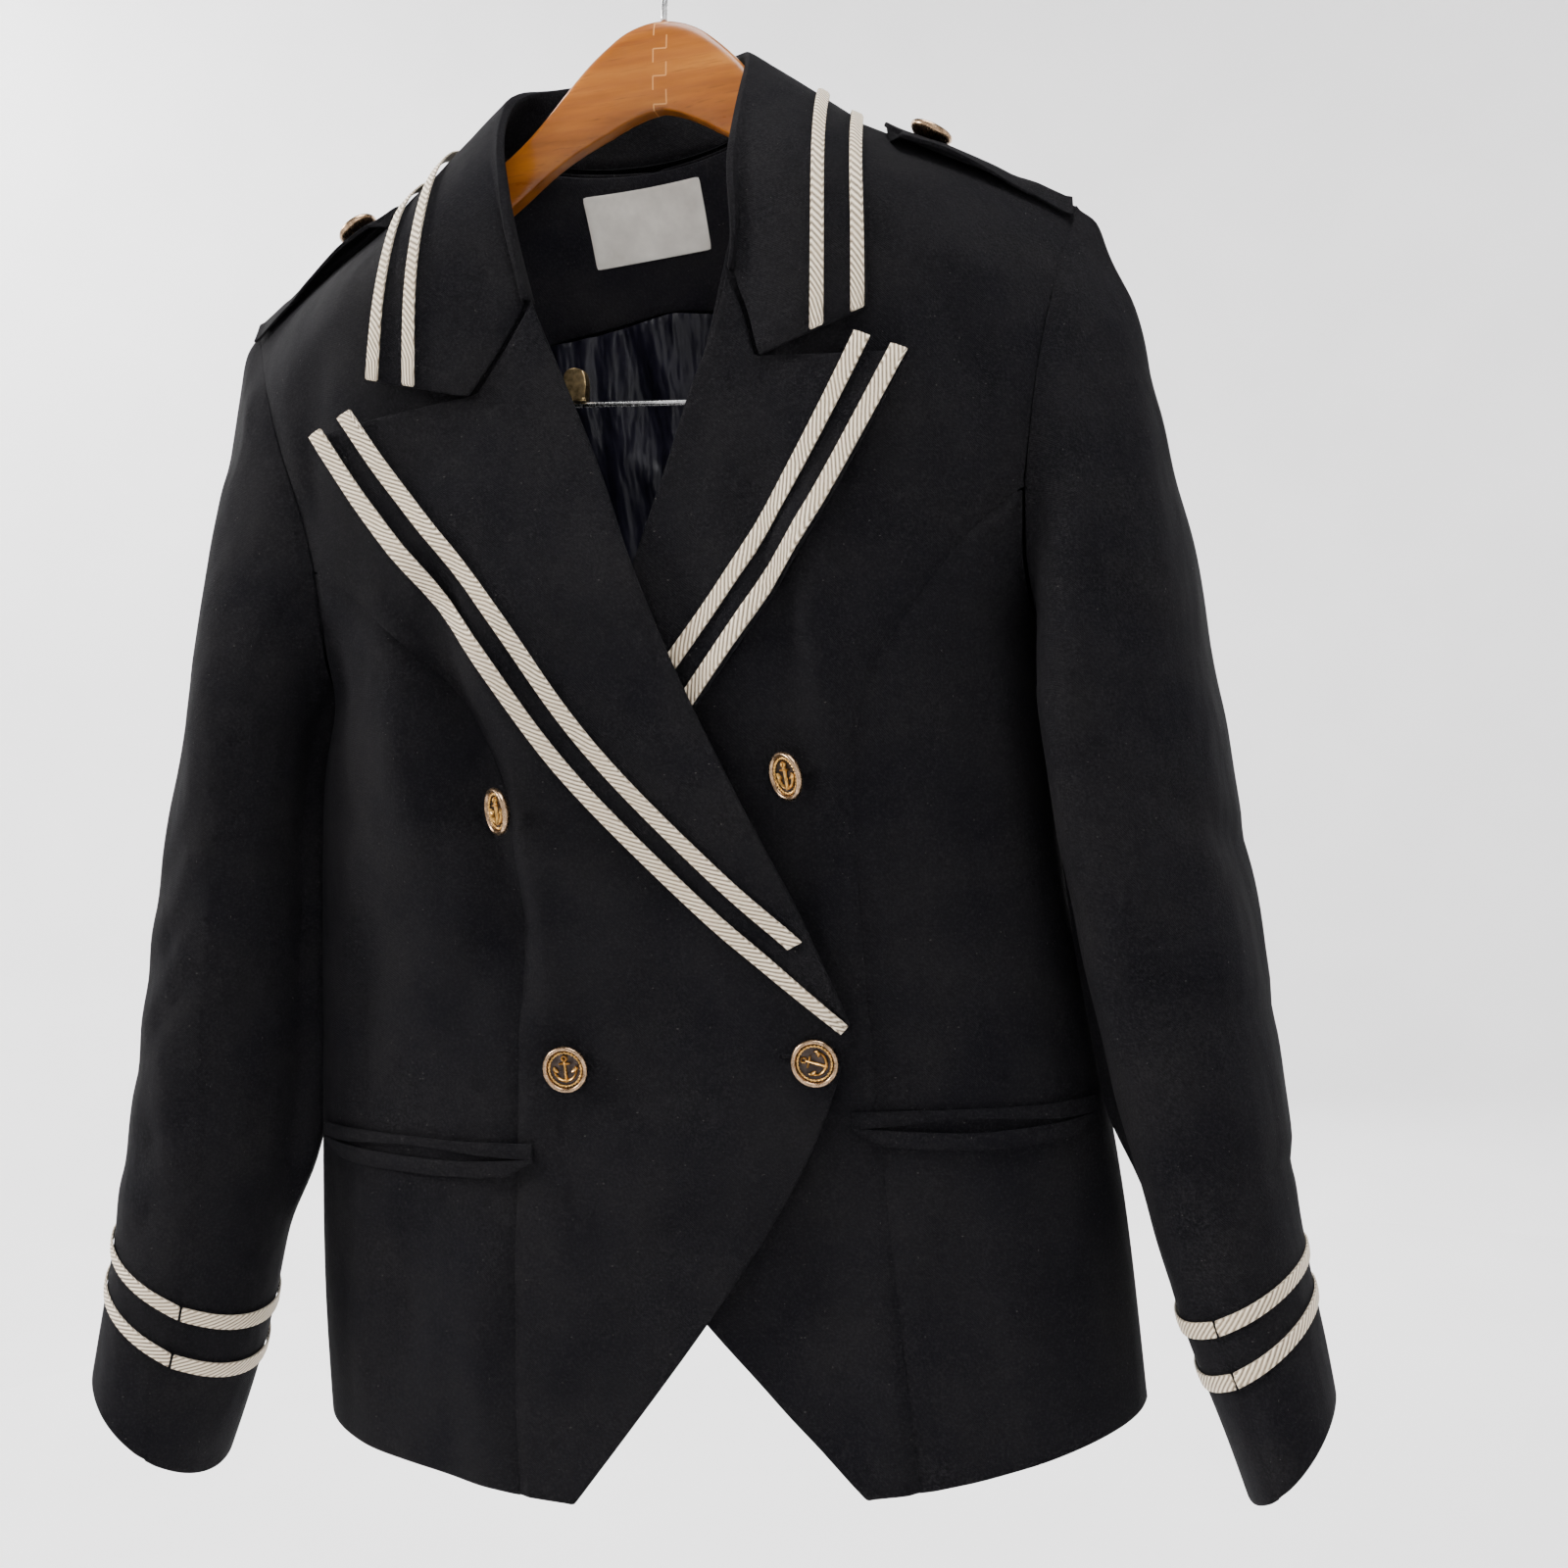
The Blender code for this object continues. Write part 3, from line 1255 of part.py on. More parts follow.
def make_hook():
    """Stem out of the wood, then round over the rail; its inner top is the origin."""
    radius = HOOK_INNER_RADIUS + HOOK_WIRE / 2
    centre_z = -HOOK_INNER_RADIUS
    y = HANGER[0][4]
    points = [(0.0, y, HANGER[0][1] + GAP), (0.0, y, -0.0585), (0.0, y * 0.7, -0.0525)]
    points += [(0.0045, y * 0.4, -0.0470), (0.0120, y * 0.15, -0.0400)]
    for degrees in range(-35, 216, 14):
        angle = math.radians(degrees)
        points.append((radius * math.cos(angle), 0.0, centre_z + radius * math.sin(angle)))
    steel = material("steel", STEEL_COLOR, 0.3, 1.0)
    make_wire("hook", [tilt(p) for p in points], HOOK_WIRE, steel)


BAR_Z = -0.2445
BAR_ENDS = (-0.128, 0.128)   # uprights, in the hanger's own frame
BAR_Y = -0.0090


def make_bar():
    """A bent wire: up into one arm, across, and up into the other."""
    bend = 0.010
    left, right = BAR_ENDS
    top = smooth_column(HANGER, right, 2) - GAP
    points = [(left, BAR_Y, top), (left, BAR_Y, top - 0.012), (left, BAR_Y, BAR_Z + bend)]
    for degrees in (30, 60):
        angle = math.radians(degrees)
        points.append((left + bend - bend * math.cos(angle), BAR_Y, BAR_Z + bend - bend * math.sin(angle)))
    points += [(left + bend, BAR_Y, BAR_Z), (right - bend, BAR_Y, BAR_Z)]
    for degrees in (60, 30):
        angle = math.radians(degrees)
        points.append((right - bend + bend * math.cos(angle), BAR_Y, BAR_Z + bend - bend * math.sin(angle)))
    points += [(right, BAR_Y, BAR_Z + bend), (right, BAR_Y, top - 0.012), (right, BAR_Y, top)]
    make_wire("trouser_bar", [tilt(p) for p in points], BAR_WIRE, material("steel", STEEL_COLOR, 0.3, 1.0))


CLIP_X = -0.042              # along the bar, in the hanger's own frame
CLIP_TOP = 0.0145            # above the bar's middle


def make_clip():
    """A small sprung clip that grips the bar from above."""
    low, high = GAP + BAR_WIRE / 2, CLIP_TOP
    outline = (
        (-0.0055, low), (0.0055, low), (0.0060, low + 0.003), (0.0060, high),
        (0.0030, high + 0.003), (-0.0030, high + 0.003), (-0.0060, high), (-0.0060, low + 0.003),
    )
    loops = []
    for y in (-0.0032, 0.0032):
        loops.append([tilt((CLIP_X + u, BAR_Y + y, BAR_Z + v)) for u, v in outline])
    lofted("bar_clip", loops, material("gold", GOLD_COLOR, 0.35, 1.0), shift=0.0)


def main():
    for old in list(bpy.data.objects):
        bpy.data.objects.remove(old, do_unlink=True)
    for side in (RIGHT, LEFT):
        make_front(side)
        make_side_front(side)
        make_back(side)
        make_sleeve(side)
        make_cuff_braids(side)
        make_lapel(side)
        make_lapel_braids(side)
        make_epaulette(side)
        make_epaulette_button(side)
        make_pocket(side)
    make_collar()
    make_collar_braids()
    make_buttons()
    make_facing()
    make_lining()
    make_label()
    make_hanger()
    make_hook()
    make_bar()
    make_clip()
    bpy.context.view_layer.update()


main()
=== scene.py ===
"""Looks of a double-breasted nautical blazer on a wooden hanger.

Every cloth solid of the model is copied, smoothed and given its creases; buttons are made new at the
places of the solids. Distances are metres, Z is up, the front faces -Y, and the origin lies in the hook.
"""

import math

import bmesh
import bpy
import numpy as np
from mathutils import Matrix, Vector
from mathutils.bvhtree import BVHTree


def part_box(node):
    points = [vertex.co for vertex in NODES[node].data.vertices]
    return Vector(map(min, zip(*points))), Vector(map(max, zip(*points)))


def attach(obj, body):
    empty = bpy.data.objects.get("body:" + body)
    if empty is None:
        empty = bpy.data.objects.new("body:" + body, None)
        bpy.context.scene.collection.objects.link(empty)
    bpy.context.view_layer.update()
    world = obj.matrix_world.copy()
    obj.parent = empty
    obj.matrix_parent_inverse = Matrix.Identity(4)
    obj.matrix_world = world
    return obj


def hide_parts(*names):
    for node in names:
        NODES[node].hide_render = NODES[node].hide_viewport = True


GARMENT_X = -0.028           # the garment's middle, beside the hook

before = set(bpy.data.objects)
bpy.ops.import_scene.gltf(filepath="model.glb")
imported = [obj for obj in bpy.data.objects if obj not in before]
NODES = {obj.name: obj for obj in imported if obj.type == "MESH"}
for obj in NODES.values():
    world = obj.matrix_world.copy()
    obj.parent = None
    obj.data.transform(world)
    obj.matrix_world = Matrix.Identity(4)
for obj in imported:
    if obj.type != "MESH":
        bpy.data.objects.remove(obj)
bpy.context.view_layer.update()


# Camera, at the photograph's place: it looks up a little, from the garment's left, and leans clockwise
CAMERA_AT = (0.1787, -0.7356, -0.4060)
CAMERA_LOOKS = (-0.2151, 0.9761, -0.0310)
CAMERA_ROLL = math.radians(5.05)


def make_camera():
    data = bpy.data.cameras.new("camera")
    data.lens = 36.0
    data.sensor_width = 36.0
    data.clip_start = 0.05
    camera = bpy.data.objects.new("camera", data)
    bpy.context.scene.collection.objects.link(camera)
    looks = Vector(CAMERA_LOOKS).normalized()
    level_right = looks.cross(Vector((0, 0, 1))).normalized()
    level_up = level_right.cross(looks)
    right = level_right * math.cos(CAMERA_ROLL) - level_up * math.sin(CAMERA_ROLL)
    up = level_right * math.sin(CAMERA_ROLL) + level_up * math.cos(CAMERA_ROLL)
    turn = Matrix((right, up, -looks)).transposed().to_4x4()
    camera.matrix_world = Matrix.Translation(Vector(CAMERA_AT)) @ turn
    bpy.context.scene.camera = camera


# Shader helpers

class Shader:
    """A material's node tree with short calls for the nodes it needs."""

    def __init__(self, name, color, rough, metal=0.0):
        self.material = bpy.data.materials.new(name)
        self.material.use_nodes = True
        self.tree = self.material.node_tree
        self.base = self.tree.nodes["Principled BSDF"]
        self.set("Base Color", (*color, 1.0))
        self.set("Roughness", rough)
        self.set("Metallic", metal)

    def set(self, socket, value):
        self.base.inputs[socket].default_value = value

    def node(self, kind, **settings):
        made = self.tree.nodes.new(kind)
        for key, value in settings.items():
            setattr(made, key, value)
        return made

    def link(self, output, socket):
        self.tree.links.new(output, socket)

    def coords(self, scale, turn=(0.0, 0.0, 0.0), kind="Object"):
        source = self.node("ShaderNodeTexCoord").outputs[kind]
        mapping = self.node("ShaderNodeMapping")
        mapping.inputs["Scale"].default_value = scale
        mapping.inputs["Rotation"].default_value = turn
        self.link(source, mapping.inputs["Vector"])
        return mapping.outputs["Vector"]

    def noise(self, vector, scale, detail=3.0, rough=0.55):
        made = self.node("ShaderNodeTexNoise")
        made.inputs["Scale"].default_value = scale
        made.inputs["Detail"].default_value = detail
        made.inputs["Roughness"].default_value = rough
        self.link(vector, made.inputs["Vector"])
        return made.outputs["Fac"]

    def wave(self, vector, scale, distortion=0.0, direction="X"):
        made = self.node("ShaderNodeTexWave", bands_direction=direction)
        made.inputs["Scale"].default_value = scale
        made.inputs["Distortion"].default_value = distortion
        self.link(vector, made.inputs["Vector"])
        return made.outputs["Fac"]

    def ramp(self, value, stops):
        made = self.node("ShaderNodeValToRGB")
        elements = made.color_ramp.elements
        elements[0].position, elements[0].color = stops[0][0], (*stops[0][1], 1.0)
        elements[1].position, elements[1].color = stops[-1][0], (*stops[-1][1], 1.0)
        for place, color in stops[1:-1]:
            element = elements.new(place)
            element.color = (*color, 1.0)
        self.link(value, made.inputs["Fac"])
        return made.outputs["Color"]

    def math(self, operation, a, b=0.0):
        made = self.node("ShaderNodeMath", operation=operation)
        for socket, value in zip(made.inputs, (a, b)):
            if isinstance(value, (int, float)):
                socket.default_value = value
            else:
                self.link(value, socket)
        return made.outputs["Value"]

    def mix(self, factor, a, b):
        made = self.node("ShaderNodeMix", data_type="RGBA")
        self.link(factor, made.inputs[0])
        for socket, value in ((made.inputs[6], a), (made.inputs[7], b)):
            if isinstance(value, tuple):
                socket.default_value = (*value, 1.0)
            else:
                self.link(value, socket)
        return made.outputs[2]

    def range(self, value, low, high, to_low, to_high):
        made = self.node("ShaderNodeMapRange")
        for index, number in enumerate((low, high, to_low, to_high)):
            made.inputs[index + 1].default_value = number
        self.link(value, made.inputs[0])
        return made.outputs[0]

    def bump(self, height, distance, strength=1.0, after=None):
        made = self.node("ShaderNodeBump")
        made.inputs["Distance"].default_value = distance
        made.inputs["Strength"].default_value = strength
        self.link(height, made.inputs["Height"])
        if after is not None:
            self.link(after, made.inputs["Normal"])
        return made.outputs["Normal"]

    def color(self, output):
        self.link(output, self.base.inputs["Base Color"])

    def rough(self, output):
        self.link(output, self.base.inputs["Roughness"])

    def normal(self, output):
        self.link(output, self.base.inputs["Normal"])


TWILL_WAVE = 560.0
LINT = (
    # scale of the cells, their turn, and how sparse the specks are
    ((240, 980, 620), (0.4, 0.2, 0.9), 0.68),
    ((900, 300, 260), (0.9, 0.5, 0.1), 0.70),
)
LINT_SIZE, LINT_SHARE = 0.13, 0.20


def suiting(name, painted_light=1.0, mottle=0.65, crumple=0.0040):
    """Near-black navy wool: a fine diagonal twill, a mottled nap, slow shade changes and specks of lint."""
    s = Shader(name, (0.0055, 0.0052, 0.0060), 0.85)

    # painted light: every colour of this cloth is multiplied by the given lightness, and above one this
    # paints a lit copy of the cloth
    def shade(*color):
        return tuple(channel * painted_light for channel in color)

    s.set("Sheen Weight", 0.005)
    s.set("Sheen Roughness", 0.45)
    s.set("Sheen Tint", (0.92, 0.92, 1.0, 1.0))
    s.set("Specular IOR Level", 0.04)
    plain = s.coords((1, 1, 1))
    slow = s.noise(plain, 26.0, 4.0)
    base = s.ramp(slow, ((0.32, shade(0.0032, 0.0031, 0.0042)), (0.70, shade(0.0068, 0.0064, 0.0070))))
    nap = s.noise(plain, 850.0, 3.0, 0.75)
    base = s.mix(s.range(nap, 0.50, 0.72, 0.0, mottle), base, shade(0.0200, 0.0190, 0.0200))
    base = s.mix(s.range(nap, 0.50, 0.34, 0.0, mottle), base, shade(0.0012, 0.0011, 0.0015))
    lint = None
    for scale, turn, sparse in LINT:
        cells = s.node("ShaderNodeTexVoronoi")
        cells.inputs["Scale"].default_value = 1.0
        s.link(s.coords(scale, turn), cells.inputs["Vector"])
        near = s.math("LESS_THAN", cells.outputs["Distance"], LINT_SIZE)
        chosen = s.math("GREATER_THAN", s.noise(s.coords(scale, turn), 0.7, 1.0), sparse)
        speck = s.math("MULTIPLY", near, chosen)
        lint = speck if lint is None else s.math("MAXIMUM", lint, speck)
    base = s.mix(s.math("MULTIPLY", lint, LINT_SHARE), base, (0.30, 0.28, 0.26))
    s.color(base)
    s.rough(s.range(nap, 0.2, 0.8, 0.75, 0.95))
    twill = s.wave(plain, TWILL_WAVE, direction="DIAGONAL")
    creased = s.noise(s.coords((34, 34, 15), (0, 0.3, 0.2)), 1.0, 2.0, 0.5)
    s.normal(s.bump(twill, 0.00010, 0.5, s.bump(nap, 0.00060, 0.8, s.bump(creased, crumple, 1.0))))
    return s.material


RIB_SLANT = -1.05            # ribs lean this far from square across the braid
RIB_WAVE = 185.0             # gives a rib each 1.7 mm


def braid():
    """Cream ribbed braid: slanting ribs across the tape with painted shade in their grooves and lighter
    crests, a firm woven edge and a soft lustre.
    """
    s = Shader("cream_braid", (0.60, 0.53, 0.43), 0.6)
    s.set("Sheen Weight", 0.12)
    s.set("Sheen Roughness", 0.4)
    run = s.coords((1, 1, 1), (0, 0, RIB_SLANT), "UV")
    ribs = s.wave(run, RIB_WAVE, 0.5)
    threads = s.noise(s.coords((900, 260, 1), (0, 0, RIB_SLANT), "UV"), 1.0, 3.0, 0.6)
    soil = s.noise(s.coords((1, 1, 1)), 60.0, 4.0)
    # painted shade: the grooves between the ribs are near black and the crests pale, for the shade and
    # light on the ribs' relief; soil is then added at random
    stops = ((0.0, (0.075, 0.050, 0.028)), (0.38, (0.44, 0.345, 0.225)), (1.0, (0.84, 0.72, 0.55)))
    shade = s.ramp(ribs, stops)
    ribs_shaded_and_soiled = s.mix(s.range(soil, 0.42, 0.75, 0.0, 0.35), shade, (0.40, 0.30, 0.19))
    s.color(s.mix(s.range(threads, 0.35, 0.75, 0.0, 0.15), ribs_shaded_and_soiled, (0.84, 0.76, 0.62)))
    s.rough(s.range(threads, 0.2, 0.8, 0.52, 0.76))
    s.normal(s.bump(ribs, 0.00060, 1.0, s.bump(threads, 0.00015, 0.6)))
    return s.material


def satin():
    """Dark navy satin lining: smooth, with faint lines along the weave and a soft gloss."""
    s = Shader("satin_lining", (0.008, 0.008, 0.017), 0.42)
    s.set("Specular IOR Level", 0.24)
    lines = s.noise(s.coords((1400, 300, 60)), 1.0, 2.0)
    slow = s.noise(s.coords((1, 1, 1)), 40.0, 3.0)
    s.color(s.ramp(slow, ((0.3, (0.003, 0.003, 0.007)), (0.75, (0.012, 0.011, 0.021)))))
    s.rough(s.range(lines, 0.2, 0.8, 0.34, 0.52))
    puckers = s.noise(s.coords((95, 60, 26), (0, 0.35, 0)), 1.0, 2.0, 0.6)
    s.normal(s.bump(lines, 0.00006, 0.5, s.bump(puckers, 0.0060, 0.9, s.bump(slow, 0.0012, 0.5))))
    return s.material


def label_cloth():
    """A blank woven label: pale satin with fine cross threads and a faint crumple."""
    s = Shader("woven_label", (0.72, 0.72, 0.72), 0.42)
    s.set("Sheen Weight", 0.1)
    threads = s.wave(s.coords((1, 1, 1)), 700.0, 0.6, direction="Z")
    crumple = s.noise(s.coords((1, 1, 1)), 70.0, 3.0)
    s.color(s.ramp(crumple, ((0.25, (0.58, 0.54, 0.48)), (0.7, (0.80, 0.76, 0.69)))))
    s.rough(s.range(threads, 0.0, 1.0, 0.34, 0.52))
    s.normal(s.bump(threads, 0.00008, 0.6, s.bump(crumple, 0.0009, 0.6)))
    return s.material


HANGER_TILT = math.radians(-6.0)
JOINT_STEP = 0.0125          # height of a finger of the joint
JOINT_REACH, JOINT_LINE = 0.0032, 0.00032
JOINT_TURN = 0.025           # half thickness of a level line, as a share of the step


def varnished_wood():
    """Orange-brown varnished wood: grain along the arms, dark pores, a finger joint and a clear gloss."""
    tilt = (0, HANGER_TILT, 0)
    s = Shader("varnished_wood", (0.33, 0.115, 0.028), 0.32)
    s.set("Coat Weight", 0.18)
    s.set("Coat Roughness", 0.18)
    s.set("Specular IOR Level", 0.22)
    grain = s.noise(s.coords((7, 60, 60), tilt), 1.6, 6.0, 0.62)
    rings = s.wave(s.coords((2.2, 20, 20), tilt), 2.3, 7.0, "Z")
    pores = s.noise(s.coords((45, 900, 900), tilt), 1.0, 2.0, 0.5)
    stops = ((0.28, (0.150, 0.040, 0.004)), (0.52, (0.250, 0.078, 0.008)), (0.78, (0.340, 0.122, 0.016)))
    body = s.ramp(grain, stops)
    body = s.mix(s.range(rings, 0.55, 1.0, 0.0, 0.35), body, (0.21, 0.058, 0.011))
    body = s.mix(s.range(pores, 0.60, 0.74, 0.0, 0.5), body, (0.10, 0.030, 0.008))
    place = s.node("ShaderNodeSeparateXYZ")
    s.link(s.coords((1, 1, 1), tilt), place.inputs["Vector"])
    phase = s.math("FRACT", s.math("DIVIDE", place.outputs["Z"], JOINT_STEP))
    swing = s.math("SUBTRACT", s.math("GREATER_THAN", phase, 0.5), 0.5)
    finger = s.math("MULTIPLY", swing, 2 * JOINT_REACH)
    off = s.math("ABSOLUTE", s.math("SUBTRACT", place.outputs["X"], finger))
    upright = s.math("LESS_THAN", off, JOINT_LINE)
    turn = s.math("LESS_THAN", s.math("ABSOLUTE", s.math("SUBTRACT", phase, 0.5)), JOINT_TURN)
    inside = s.math("LESS_THAN", s.math("ABSOLUTE", place.outputs["X"]), JOINT_REACH)
    joint = s.math("MAXIMUM", upright, s.math("MULTIPLY", turn, inside))
    s.color(s.mix(s.math("MULTIPLY", joint, 0.75), body, (0.52, 0.24, 0.075)))
    s.rough(s.range(grain, 0.2, 0.8, 0.24, 0.40))
    s.normal(s.bump(pores, 0.00010, 0.35))
    return s.material


def plated(name, color, rough, wear):
    """Plated metal with fine scratches and a little tarnish in random patches."""
    s = Shader(name, color, rough, 1.0)
    tarnish = s.noise(s.coords((1, 1, 1)), 330.0, 4.0)
    scratch = s.noise(s.coords((2600, 240, 900)), 1.0, 2.0)
    dull = tuple(channel * wear for channel in color)
    s.color(s.ramp(tarnish, ((0.32, dull), (0.66, color))))
    s.rough(s.range(scratch, 0.25, 0.8, rough * 0.7, rough * 1.5))
    s.normal(s.bump(scratch, 0.00004, 0.5))
    return s.material


def pale_plaster():
    s = Shader("pale_ground", (0.86, 0.86, 0.86), 0.95)
    s.set("Specular IOR Level", 0.1)
    soft = s.noise(s.coords((1, 1, 1)), 3.0, 2.0)
    s.color(s.ramp(soft, ((0.3, (0.86, 0.855, 0.86)), (0.7, (0.90, 0.895, 0.90)))))
    return s.material


# Finer copies of the solids

SHARP = math.radians(48)     # edges of a solid sharper than this stay edges
CORNER = math.radians(24)    # a cloth's outline that turns more than this keeps its corner
WALL_MOST = 0.0026           # no wall of cloth is thicker
LET_OUT = 0.00035            # each piece grows this far at its seams and hems
EDGE_ROUND = 0.00080


def new_object(name, mesh):
    made = bpy.data.objects.new(name, mesh)
    bpy.context.scene.collection.objects.link(made)
    return made


def let_out(work, amount):
    """Moves the narrow faces round a cloth's edge outward, so that the pieces meet at their seams."""
    pushes = {}
    for face in work.faces:
        hard = [e for e in face.edges if len(e.link_faces) == 2 and e.calc_face_angle() > SHARP]
        if len(hard) < 2 or min(e.calc_length() for e in face.edges) > WALL_MOST:
            continue
        for vert in face.verts:
            known = pushes.setdefault(vert, [])
            if all(face.normal.dot(other) < 0.7 for other in known):
                known.append(face.normal.copy())
    for vert, normals in pushes.items():
        if len(normals) > 2:
            continue
        for normal in normals:
            vert.co += normal * amount


def mesh_from(work, name):
    mesh = bpy.data.meshes.new(name)
    work.to_mesh(mesh)
    work.free()
    return mesh


def join_rings(work, rings, closed=False):
    """Faces between each ring and the next, and from the last to the first where the path is closed."""
    for low, high in zip(rings, rings[1:] + rings[:1] if closed else rings[1:]):
        for i in range(len(low)):
            j = (i + 1) % len(low)
            work.faces.new((low[i], low[j], high[j], high[i]))


PAIR_BEND, PAIR_SHAPE = math.radians(35), math.radians(65)


def finer_mesh(node, levels, crease=0.9, out=0.0, rounding=0.0):
    """A solid's mesh with its triangles paired and smoothed, its hard edges kept and rounded a little."""
    work = bmesh.new()
    work.from_mesh(NODES[node].data)
    bmesh.ops.remove_doubles(work, verts=work.verts, dist=2e-6)
    bmesh.ops.join_triangles(
        work, faces=work.faces, angle_face_threshold=PAIR_BEND, angle_shape_threshold=PAIR_SHAPE
    )
    work.normal_update()
    if out:
        let_out(work, out)
    layer = work.edges.layers.float.new("crease_edge")
    for edge in work.edges:
        if len(edge.link_faces) == 2 and edge.calc_face_angle() > SHARP:
            edge[layer] = crease
    if out:
        corners = work.verts.layers.float.new("crease_vert")
        for vert in work.verts:
            if sum(edge[layer] > 0 for edge in vert.link_edges) > 2:
                vert[corners] = 1.0
        for edge in work.edges:
            if edge.calc_length() < WALL_MOST and edge.calc_face_angle(0.0) > CORNER:
                for vert in edge.verts:
                    vert[corners] = 1.0
    mesh = mesh_from(work, node + "_cage")
    cage = new_object(node + "_cage", mesh)
    smoothing = cage.modifiers.new("smoothing", "SUBSURF")
    smoothing.levels = smoothing.render_levels = levels
    if rounding:
        edges = cage.modifiers.new("edges", "BEVEL")
        edges.limit_method = "ANGLE"
        edges.angle_limit = SHARP
        edges.width = rounding
        edges.segments = 1 if out else 2
    graph = bpy.context.evaluated_depsgraph_get()
    done = bpy.data.meshes.new_from_object(cage.evaluated_get(graph))
    bpy.data.objects.remove(cage, do_unlink=True)
    bpy.data.meshes.remove(mesh)
    return done


def points_of(mesh):
    flat = np.empty(len(mesh.vertices) * 3)
    mesh.vertices.foreach_get("co", flat)
    return flat.reshape(-1, 3)


def set_points(mesh, points):
    mesh.vertices.foreach_set("co", np.ascontiguousarray(points, float).reshape(-1))
    mesh.update()


def smooth_step(value):
    value = np.clip(value, 0.0, 1.0)
    return value * value * (3 - 2 * value)


# Creases: area, from (x, z) to (x, z) in the garment's own frame, half width, depth (a ridge is negative)
FOLDS = (
    # area,   x0,     z0,     x1,     z1,     half,   depth
    ("front", -0.096, -0.335, -0.080, -0.430, 0.0170, 0.0150),
    ("front", -0.078, -0.430, -0.070, -0.515, 0.0120, 0.0090),
    ("front", -0.124, -0.350, -0.112, -0.480, 0.0130, -0.0048),
    ("front", -0.060, -0.470, -0.066, -0.528, 0.0110, -0.0033),
    ("front", -0.150, -0.478, -0.168, -0.560, 0.0120, 0.0038),
    ("front", -0.012, -0.510, 0.038, -0.545, 0.0085, 0.0033),
    ("front", -0.040, -0.585, 0.012, -0.640, 0.0130, -0.0033),
    ("front", -0.140, -0.620, -0.158, -0.715, 0.0140, 0.0042),
    ("front", -0.106, -0.640, -0.112, -0.735, 0.0120, -0.0033),
    ("front", -0.176, -0.620, -0.186, -0.700, 0.0100, -0.0029),
    ("front", 0.060, -0.300, 0.066, -0.420, 0.0110, 0.0038),
    ("front", 0.080, -0.318, 0.079, -0.440, 0.0090, -0.0038),
    ("front", 0.112, -0.352, 0.108, -0.470, 0.0150, 0.0026),
    ("front", 0.150, -0.330, 0.160, -0.440, 0.0100, -0.0035),
    ("front", 0.138, -0.400, 0.150, -0.520, 0.0120, 0.0029),
    ("front", 0.074, -0.470, 0.070, -0.550, 0.0110, -0.0020),
    ("front", 0.120, -0.610, 0.130, -0.730, 0.0150, 0.0032),
    ("front", 0.088, -0.640, 0.082, -0.740, 0.0110, -0.0023),
    ("front", 0.036, -0.612, 0.058, -0.690, 0.0120, 0.0026),
    ("front", 0.166, -0.560, 0.172, -0.700, 0.0120, -0.0023),
    ("front", 0.146, -0.215, 0.168, -0.300, 0.0120, 0.0032),
    ("front", -0.150, -0.205, -0.162, -0.290, 0.0120, 0.0046),
    ("back", -0.120, -0.330, -0.060, -0.360, 0.0120, 0.0035),
    ("back", 0.110, -0.335, 0.050, -0.372, 0.0110, 0.0038),
    ("back", -0.155, -0.420, -0.150, -0.560, 0.0140, -0.0032),
    ("back", -0.060, -0.470, 0.015, -0.486, 0.0110, 0.0026),
    ("back", 0.030, -0.440, 0.100, -0.462, 0.0100, 0.0026),
    ("back", 0.140, -0.430, 0.146, -0.590, 0.0150, -0.0032),
    ("back", -0.100, -0.560, -0.112, -0.700, 0.0160, 0.0029),
    ("back", 0.060, -0.580, 0.070, -0.705, 0.0150, 0.0026),
    ("back", -0.010, -0.190, 0.006, -0.290, 0.0150, -0.0020),
    ("sleeve", -0.268, -0.500, -0.214, -0.440, 0.0085, 0.0023),
    ("sleeve", -0.282, -0.545, -0.232, -0.492, 0.0080, 0.0026),
    ("sleeve", -0.262, -0.462, -0.205, -0.402, 0.0090, 0.0018),
    ("sleeve", -0.296, -0.590, -0.236, -0.560, 0.0085, 0.0021),
    ("sleeve", -0.262, -0.606, -0.300, -0.636, 0.0075, 0.0013),
    ("sleeve", -0.216, -0.262, -0.222, -0.500, 0.0110, -0.0020),
    ("sleeve", -0.238, -0.360, -0.250, -0.480, 0.0100, 0.0018),
    ("sleeve", -0.228, -0.300, -0.196, -0.250, 0.0090, -0.0012),
    ("sleeve", -0.262, -0.520, -0.248, -0.640, 0.0110, -0.0017),
    ("sleeve", 0.252, -0.470, 0.190, -0.430, 0.0090, 0.0030),
    ("sleeve", 0.256, -0.545, 0.196, -0.520, 0.0100, 0.0035),
    ("sleeve", 0.230, -0.380, 0.176, -0.345, 0.0100, 0.0024),
    ("sleeve", 0.262, -0.610, 0.204, -0.592, 0.0085, 0.0030),
    ("sleeve", 0.236, -0.420, 0.240, -0.600, 0.0120, -0.0035),
    ("sleeve", 0.218, -0.230, 0.228, -0.400, 0.0110, -0.0032),
    ("sleeve", 0.204, -0.260, 0.208, -0.420, 0.0100, 0.0030),
    ("lining", -0.070, -0.200, -0.040, -0.300, 0.0060, -0.0037),
    ("lining", -0.046, -0.196, -0.058, -0.330, 0.0050, 0.0034),
    ("lining", -0.024, -0.198, -0.006, -0.290, 0.0060, -0.0044),
    ("lining", 0.002, -0.196, -0.012, -0.340, 0.0050, 0.0031),
    ("lining", 0.026, -0.198, 0.034, -0.300, 0.0055, -0.0037),
    ("lining", 0.050, -0.200, 0.030, -0.330, 0.0060, 0.0034),
    ("lining", -0.030, -0.260, 0.020, -0.300, 0.0070, 0.0027),
)
RIPPLE = 0.00070             # slow unevenness all over the cloth


